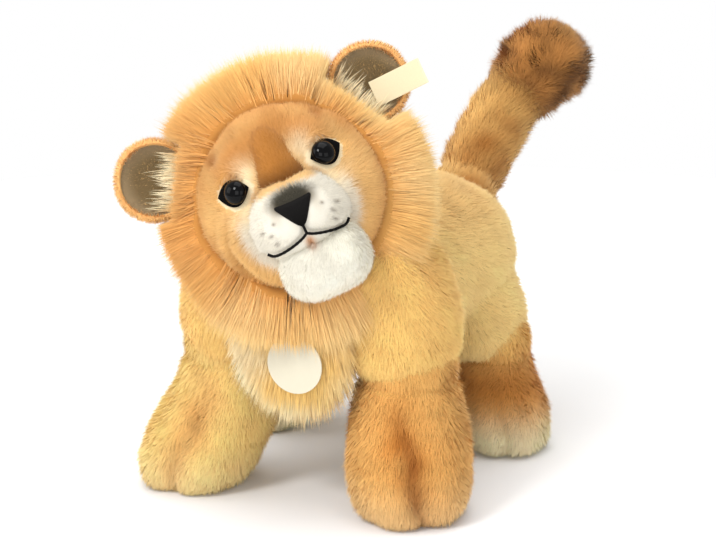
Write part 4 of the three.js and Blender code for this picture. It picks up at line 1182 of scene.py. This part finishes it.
def off_sole(at, up):
    return (up[:, 2] > -0.75) & (at[:, 2] > 0.6)


for name, skin in leg_skins.items():
    above = shoulder_trees.get(name, body_tree)
    plush(skin, f"{name}_leg", "fabric_orange", [f"{name}_leg_skin", f"{name}_leg_stuffing"],
          leg_colour(name), density=4.6, way=toward([0, -0.35, -1]), lean=0.58,
          keep=both(off_sole, outside(above, by=0.8)), fill=0.85, **SHORT_PILE)

TAIL_PILE = dict(density=5.0, way=toward(tail_tip - tail_base), width=SHORT_WIDTH, size=8)
plush(tail, "tail", "fabric_gold", ["tail_skin", "tail_stuffing"], tail_colour, lean=0.6, length=5.0,
      keep=outside(body_tree, by=1.0), ruffle=0.18, **TAIL_PILE)
plush(tuft, "tail", "fabric_brown", ["tail_tuft"], tuft_colour, lean=0.45, length=6.5, keep=None,
      ruffle=0.42, **TAIL_PILE)


def over_eye(at):
    """How much a root belongs to the brow, whose pile hangs over the eye's upper edge."""
    q = to_head(at)
    above = np.zeros(len(at))
    for side in (1, -1):
        local = q @ eye_turn(side)
        brow = ramp(local[:, 2], 3.5, 5.5) * spot((local[:, 0] - 1.5 * side) / 8, 1)
        above = np.maximum(above, brow * (local[:, 1] < 0))
    return above * ramp(almond_distance(at), 5.5, 2.5)


def from_muzzle(at):
    """The way that the face's pile lies: out from the muzzle, but down over the eyes."""
    q = to_head(at)
    way = unit(np.column_stack([q[:, 0], np.full(len(at), 4.0), q[:, 2] + 6]))
    over = over_eye(at)[:, None]
    return (way * (1 - over) + np.array([0, -0.35, -1.0]) * over) @ HEAD_TURN.T


def face_length(at, up):
    reach = np.hypot(*to_head(at)[:, [0, 2]].T)
    share = 0.32 + 0.68 * ramp(almond_distance(at), 0.6, 6) + 0.6 * over_eye(at)
    return FACE_PILE * share * (1 - 0.3 * ramp(reach, 34, 42))


def off_eyes(at, up):
    return almond_distance(at) > 0.5


def off_stitches(at, up):
    """Keeps the muzzle's pile off its back, the nose and the mouth's thread."""
    q = to_head(at)
    row = np.clip((NOSE_TOP - q[:, 2]) / NOSE_HIGH, 0, 1)
    half = 8.6 * (1 - row) ** 0.85 + 0.7
    nose = (np.abs(q[:, 0]) < half) & (q[:, 2] < -2.6) & (q[:, 2] > -14.8)
    off, across = from_smile(q - MUZZLE)
    return ~nose & (q[:, 1] < -25) & ~((np.abs(off) < 0.7) & (across < 0.8))


def muzzle_length(at, up):
    q = to_head(at)
    off, across = from_smile(q - MUZZLE)
    from_line = np.where(across < 0.85, np.abs(off), 9)
    from_nose = np.hypot(np.maximum(np.abs(q[:, 0]) - 6, 0), q[:, 2] + 9)
    shorter = np.minimum(ramp(from_line, 0.6, 4), ramp(from_nose, 5, 11))
    return MUZZLE_PILE * (0.35 + 0.65 * shorter)


HEAD_PILE = dict(way=from_muzzle, painted_shade_dim=0.85, fill=0.85, tip=1.06, root=0.94, size=7)
plush(face, "head", "fabric_gold", ["face_skin", "head_stuffing", "neck_stuffing"], face_colour,
      density=7.0, lean=0.62, length=face_length, width=0.32,
      keep=both(off_eyes, outside(muzzle_tree, chin_tree, bridge_tree, by=0.9)), **HEAD_PILE)
plush(muzzle, "head", "fabric_white", ["muzzle"], muzzle_colour, density=9.0, lean=0.62,
      length=muzzle_length, width=0.28,
      keep=both(off_stitches, outside(head_tree, bridge_tree, by=0.6)), **HEAD_PILE)
plush(bridge, "head", "fabric_orange", ["nose_bridge"], bridge_colour, density=9.0, lean=0.6,
      length=MUZZLE_PILE, width=0.3, keep=outside(head_tree, muzzle_tree, by=0.4), **HEAD_PILE)
plush(chin, "head", "fabric_white", ["chin"], chin_colour, density=8.0, way=toward([0.1, -0.1, -1]),
      lean=0.7, length=3.4, width=0.3, keep=outside(head_tree, muzzle_tree, by=0.5), painted_shade_dim=0.88, fill=0.85,
      tip=1.03, root=0.97, ruffle=0.1, size=8, spread=0.1)

# Long pile: the mane, the back of the head, the chest ruff and the hair before the ears.
MANE_ROOT = srgb(218, 150, 76)
MANE_MID = srgb(240, 192, 114)
MANE_TIP = srgb(252, 224, 164)
MANE_RIM = 62.5   # how far the mane's hair reaches from the face's axis


def clear_of_tag(at, lie, long):
    """Only the tag's top edge is under the hair."""
    clear = np.ones(len(at), bool)
    for share in (0.5, 0.75, 1.0):
        p = at + lie * (long * share)[:, None]
        from_middle = np.hypot(p[:, 0] - TAG_HOLE[0], p[:, 2] - (TAG_HOLE[2] - TAG_DROP))
        clear &= ~((from_middle < TAG_R + 0.5) & (p[:, 1] < -84.5) & (p[:, 2] < 80))
    return clear


def long_pile(name, skin, body, density, direction, length, width, colours, sag, keep,
              group=26, pull=0.55, parts=3, softness=0.8):
    at, up = roots_on(skin, density, keep)
    lie = unit(direction(at, up) + rng.normal(0, 0.07, at.shape))
    long = length(at, up) * np.clip(1 + rng.normal(0, 0.16, len(at)), 0.55, 1.4)
    lie = clumped(at, lie, long, group, pull)
    clear = clear_of_tag(at, lie, long)
    at, up, lie, long = at[clear], up[clear], lie[clear], long[clear]
    root, tip = colours(at, up)
    if callable(softness):
        softness = softness(at)[:, None]
    vary = 1 + rng.normal(0, 0.05, (len(at), 1)) + 0.05 * noise(at, 10)[:, None]
    fur = pile_mesh(name, at, up, lie, long, width, np.clip(root * vary, 0.002, 1),
                    np.clip(tip * vary, 0.002, 0.97), parts, EARTH * sag, softness)
    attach(fur, body)


def maned(skin, body, node, painted_shade_dim, fill, colours, **hair):
    """A dressed skin with its long pile."""
    dressed(skin, body, "fabric_mane", [node], lambda p, n: colours(p, n)[0], painted_shade_dim)
    long_pile(skin.name.replace("plush", "pile"), skin, body, colours=colours, **hair)


def mane_place(at):
    """Places in the head's frame, their way out from the face's axis, and their angle from it."""
    q = to_head(at)
    radial = unit(np.column_stack([q[:, 0], np.zeros(len(q)), q[:, 2]]))
    theta = np.degrees(np.arctan2(np.hypot(q[:, 0], q[:, 2]), -q[:, 1]))
    return q, radial, theta


def mane_direction(at, up):
    _, radial, theta = mane_place(at)
    back = np.interp(theta, [64, 72, 82, 95, 110, 150], [-0.12, 0.06, 0.3, 0.9, 1.6, 2.2])
    way = radial + back[:, None] * np.array([0, 1.0, 0])
    return way @ HEAD_TURN.T


def back_direction(at, up):
    return unit(mane_direction(at, up)) + up * 0.22 + EARTH * 0.35


def mane_length(at, up):
    q, radial, theta = mane_place(at)
    long = np.interp(theta, [64, 75, 95, 110, 125, 160], [17, 17, 15, 14, 13, 13.0])
    reach = np.hypot(q[:, 0], q[:, 2])
    outward_share = np.maximum((unit(mane_direction(at, up)) @ HEAD_TURN * radial).sum(1), 0.25)
    right_ear = spot(radial @ np.array([0.93, 0, 0.37]) + 1, 0.5)
    rim = MANE_RIM - 5 * right_ear + rng.normal(0, 1.0, len(q))
    chestward = spot(radial @ (EARTH @ HEAD_TURN) - 1, 0.35)
    rim = rim + chestward * (6 + rng.uniform(-5, 3, len(q)))
    long = long * (1 + 0.35 * chestward)
    long = np.minimum(long, np.maximum((rim - reach) / outward_share, 4))
    for side in (1, -1):
        out, _, across = ear_frame(side)
        room = np.maximum(49 + 3 * rng.random(len(q)) - q @ out, 3.5)
        before = (np.abs(q @ across) < 16) & (q @ out > 0) & (theta < 100)
        long = np.where(before, np.minimum(long, room), long)
    return long


def mane_colours(at, up):
    _, radial, theta = mane_place(at)
    low_right = ramp(radial[:, 0], 0.1, 0.9) * ramp(-radial[:, 2], -0.2, 0.6)
    root = coated(MANE_ROOT, (MANE_MID * 0.85, ramp(theta, 66, 76)), (MANE_MID * 0.85, 0.4 * low_right))
    lighter = np.clip(0.45 + 0.35 * noise(at, 16, 1) + 0.2 * low_right, 0, 1)
    warm = spot(radial @ np.array([-0.93, 0, 0.36]) - 1, 0.35) * ramp(theta, 92, 74)
    tip = coated(MANE_MID, (MANE_TIP, lighter), (srgb(206, 142, 74), 0.75 * warm))
    return mix(root, MANE_ROOT, 0.6 * warm), tip


def around_ears(at, up):
    """Leaves a clear slot in the mane where each ear folds."""
    q = to_head(at)
    held = np.linalg.norm(q, axis=1) > 44.9
    for side in (1, -1):
        out, _, across = ear_frame(side)
        in_slot = (np.abs(q @ across) < 15.5) & (q[:, 1] < 9)
        held &= ~(in_slot & ((q @ out > 46) | ((q @ out > 40) & (q[:, 1] > -4.5))))
    return held


def mane_softness(at):
    return np.interp(mane_place(at)[2], [84, 98], [0.88, 0.45])


maned(mane, "head", "mane", painted_shade_dim=0.72, fill=0.6, density=7.6, direction=mane_direction,
      length=mane_length, width=0.32, colours=mane_colours, sag=0.10, keep=around_ears, group=80,
      pull=0.22, parts=2, softness=mane_softness)
maned(head_back, "head", "head_back_skin", painted_shade_dim=0.95, fill=0.85, density=4.6, direction=back_direction,
      length=mane_length, width=0.4, colours=mane_colours, sag=0.25,
      keep=outside(mane_tree, body_tree, by=1.0), group=40, pull=0.35, parts=2, softness=0.55)


def ruff_direction(at, up):
    return up * 0.5 + EARTH + np.array([1.0, 0, 0]) * ((at[:, :1] - BACK_SEAM) / 70)


def ruff_length(at, up):
    return np.interp(at[:, 2], [50, 70, 84, 98], [11, 14, 12, 17.0])


def ruff_colours(at, up):
    middle = srgb(248, 204, 122)
    paler = np.clip(0.42 + 0.4 * noise(at, 15, 2) + 0.5 * ramp(at[:, 0], 2, -16), 0, 1)
    return mix(middle * 0.85, MANE_ROOT, 0.7 * ramp(at[:, 2], 62, 52)), mix(middle, CREAM, paler)


maned(ruff, "trunk", "chest_ruff", painted_shade_dim=0.8, fill=0.6, density=5.0, direction=ruff_direction,
      length=ruff_length, width=0.36, colours=ruff_colours, sag=0.3,
      keep=outside(body_tree, *shoulder_trees.values(), by=1.0))


def furry_ear(side, word):
    """The ear's two skins, their pile, and the longer hair at the lining's root."""
    out, _, across = ear_frame(side)
    middle = from_head(ear_middle(side))
    body = f"ear_{word}"

    def from_middle(at):
        return at - middle

    def lining_colour(p, n):
        # The taupe is the lining's own colour; it is lightened towards the rim, leaving the cup's middle
        # darker as painted shade in the ear's hollow.
        return mix(TAUPE, srgb(172, 150, 116), 0.8 * ramp(np.linalg.norm(p - middle, axis=1), 8, 15))

    def off_cup(at, up):
        q = to_head(at) - ear_middle(side)
        return ~((np.hypot(q @ out, q @ across) < LINING_R) & (q[:, 1] < 1.0))

    def by_root(at, up):
        q = to_head(at) - ear_middle(side)
        return ((up @ HEAD_TURN)[:, 1] < 0.1) & (q @ out < -7.5 - 5.0 * rng.random(len(at)))

    def hair_colours(at, up):
        return constant(srgb(244, 210, 150))(at, up), constant(CREAM)(at, up)

    plush(ears[word], body, "fabric_orange", [f"ear_back_{word}"], constant(srgb(246, 192, 122)),
          density=7.0, way=from_middle, lean=0.55, length=2.8, width=0.32, keep=off_cup, painted_shade_dim=0.85,
          fill=None)
    plush(linings[word], body, "fabric_taupe", [f"ear_lining_{word}"], lining_colour, density=8.0,
          way=from_middle, lean=0.75, length=2.2, width=0.3,
          keep=lambda at, up: (up @ HEAD_TURN)[:, 1] < 0.2, painted_shade_dim=0.75, fill=None, tip=1.06, root=0.96)
    long_pile(f"pile_ear_hair_{word}", linings[word], body, density=3.2,
              direction=lambda at, up: up * 0.4 + out @ HEAD_TURN.T,
              length=lambda at, up: rng.uniform(6, 13, len(at)), width=0.34, colours=hair_colours,
              sag=0.2, keep=by_root)


for side, word in SIDES:
    furry_ear(side, word)

# The studio: a white floor, white air, soft lamps and the camera.
bpy.ops.mesh.primitive_circle_add(vertices=128, radius=0.62, fill_type="NGON")
floor = bpy.context.object
floor.name = "studio_floor"
FLOOR_WHITE = np.array([0.93, 0.93, 0.93])
floor.data.materials.append(material("studio_white", plain(FLOOR_WHITE, 0.9, 0.0, 5, 0.0)))

AIR_LIGHT, AIR_SEEN = 0.72, 1   # how bright the white air lights the scene, and how bright it looks
world = bpy.data.worlds.new("studio_air")
bpy.context.scene.world = world
world.use_nodes = True
nodes = world.node_tree.nodes
nodes.clear()
choose = nodes.new("ShaderNodeMixShader")
for place, strength in ((1, AIR_LIGHT), (2, AIR_SEEN)):
    air = nodes.new("ShaderNodeBackground")
    set_inputs(air, Color=(1, 1, 1, 1), Strength=strength)
    join(world.node_tree, air, "Background", choose, place)
join(world.node_tree, nodes.new("ShaderNodeLightPath"), "Is Camera Ray", choose, "Fac")
join(world.node_tree, choose, "Shader", nodes.new("ShaderNodeOutputWorld"), "Surface")

# The camera and the lamps look at this point of the lion.
target = (np.array([-8.4, 21.7, 86.7]) + SHIFT) * MM


def softbox(name, place, width, height, power):
    data = bpy.data.lights.new(name, "AREA")
    data.shape, data.size, data.size_y, data.energy = "RECTANGLE", width, height, power
    made = linked(name, data)
    made.location = Vector(place)
    made.rotation_euler = (Vector(target) - made.location).to_track_quat("-Z", "Y").to_euler()


softbox("key", (-0.30, -1.30, 1.25), 0.45, 0.45, 14)
softbox("top", (0.0, 0.0, 1.5), 1.2, 1.2, 10)
softbox("left_fill", (-1.3, -0.9, 0.6), 0.9, 0.9, 5)
softbox("right_fill", (1.3, -0.8, 0.4), 0.8, 0.8, 3.0)
softbox("front_fill", (0.4, -1.6, 0.5), 0.8, 0.8, 5)

CAMERA_TURN, CAMERA_RISE = math.radians(25), math.radians(15)
CAMERA_AWAY, CAMERA_LENS = 1.18, 125.8
camera = linked("camera", bpy.data.cameras.new("camera"))
bpy.context.scene.camera = camera
level = math.cos(CAMERA_RISE)
away = Vector((math.sin(CAMERA_TURN) * level, -math.cos(CAMERA_TURN) * level, math.sin(CAMERA_RISE)))
camera.location = Vector(target) + away * CAMERA_AWAY
camera.rotation_euler = (-away).to_track_quat("-Z", "Y").to_euler()
camera.data.sensor_fit, camera.data.sensor_width, camera.data.lens = "HORIZONTAL", 36, CAMERA_LENS
camera.data.clip_start, camera.data.clip_end = 0.05, 20
bpy.context.scene.view_settings.view_transform = "Standard"
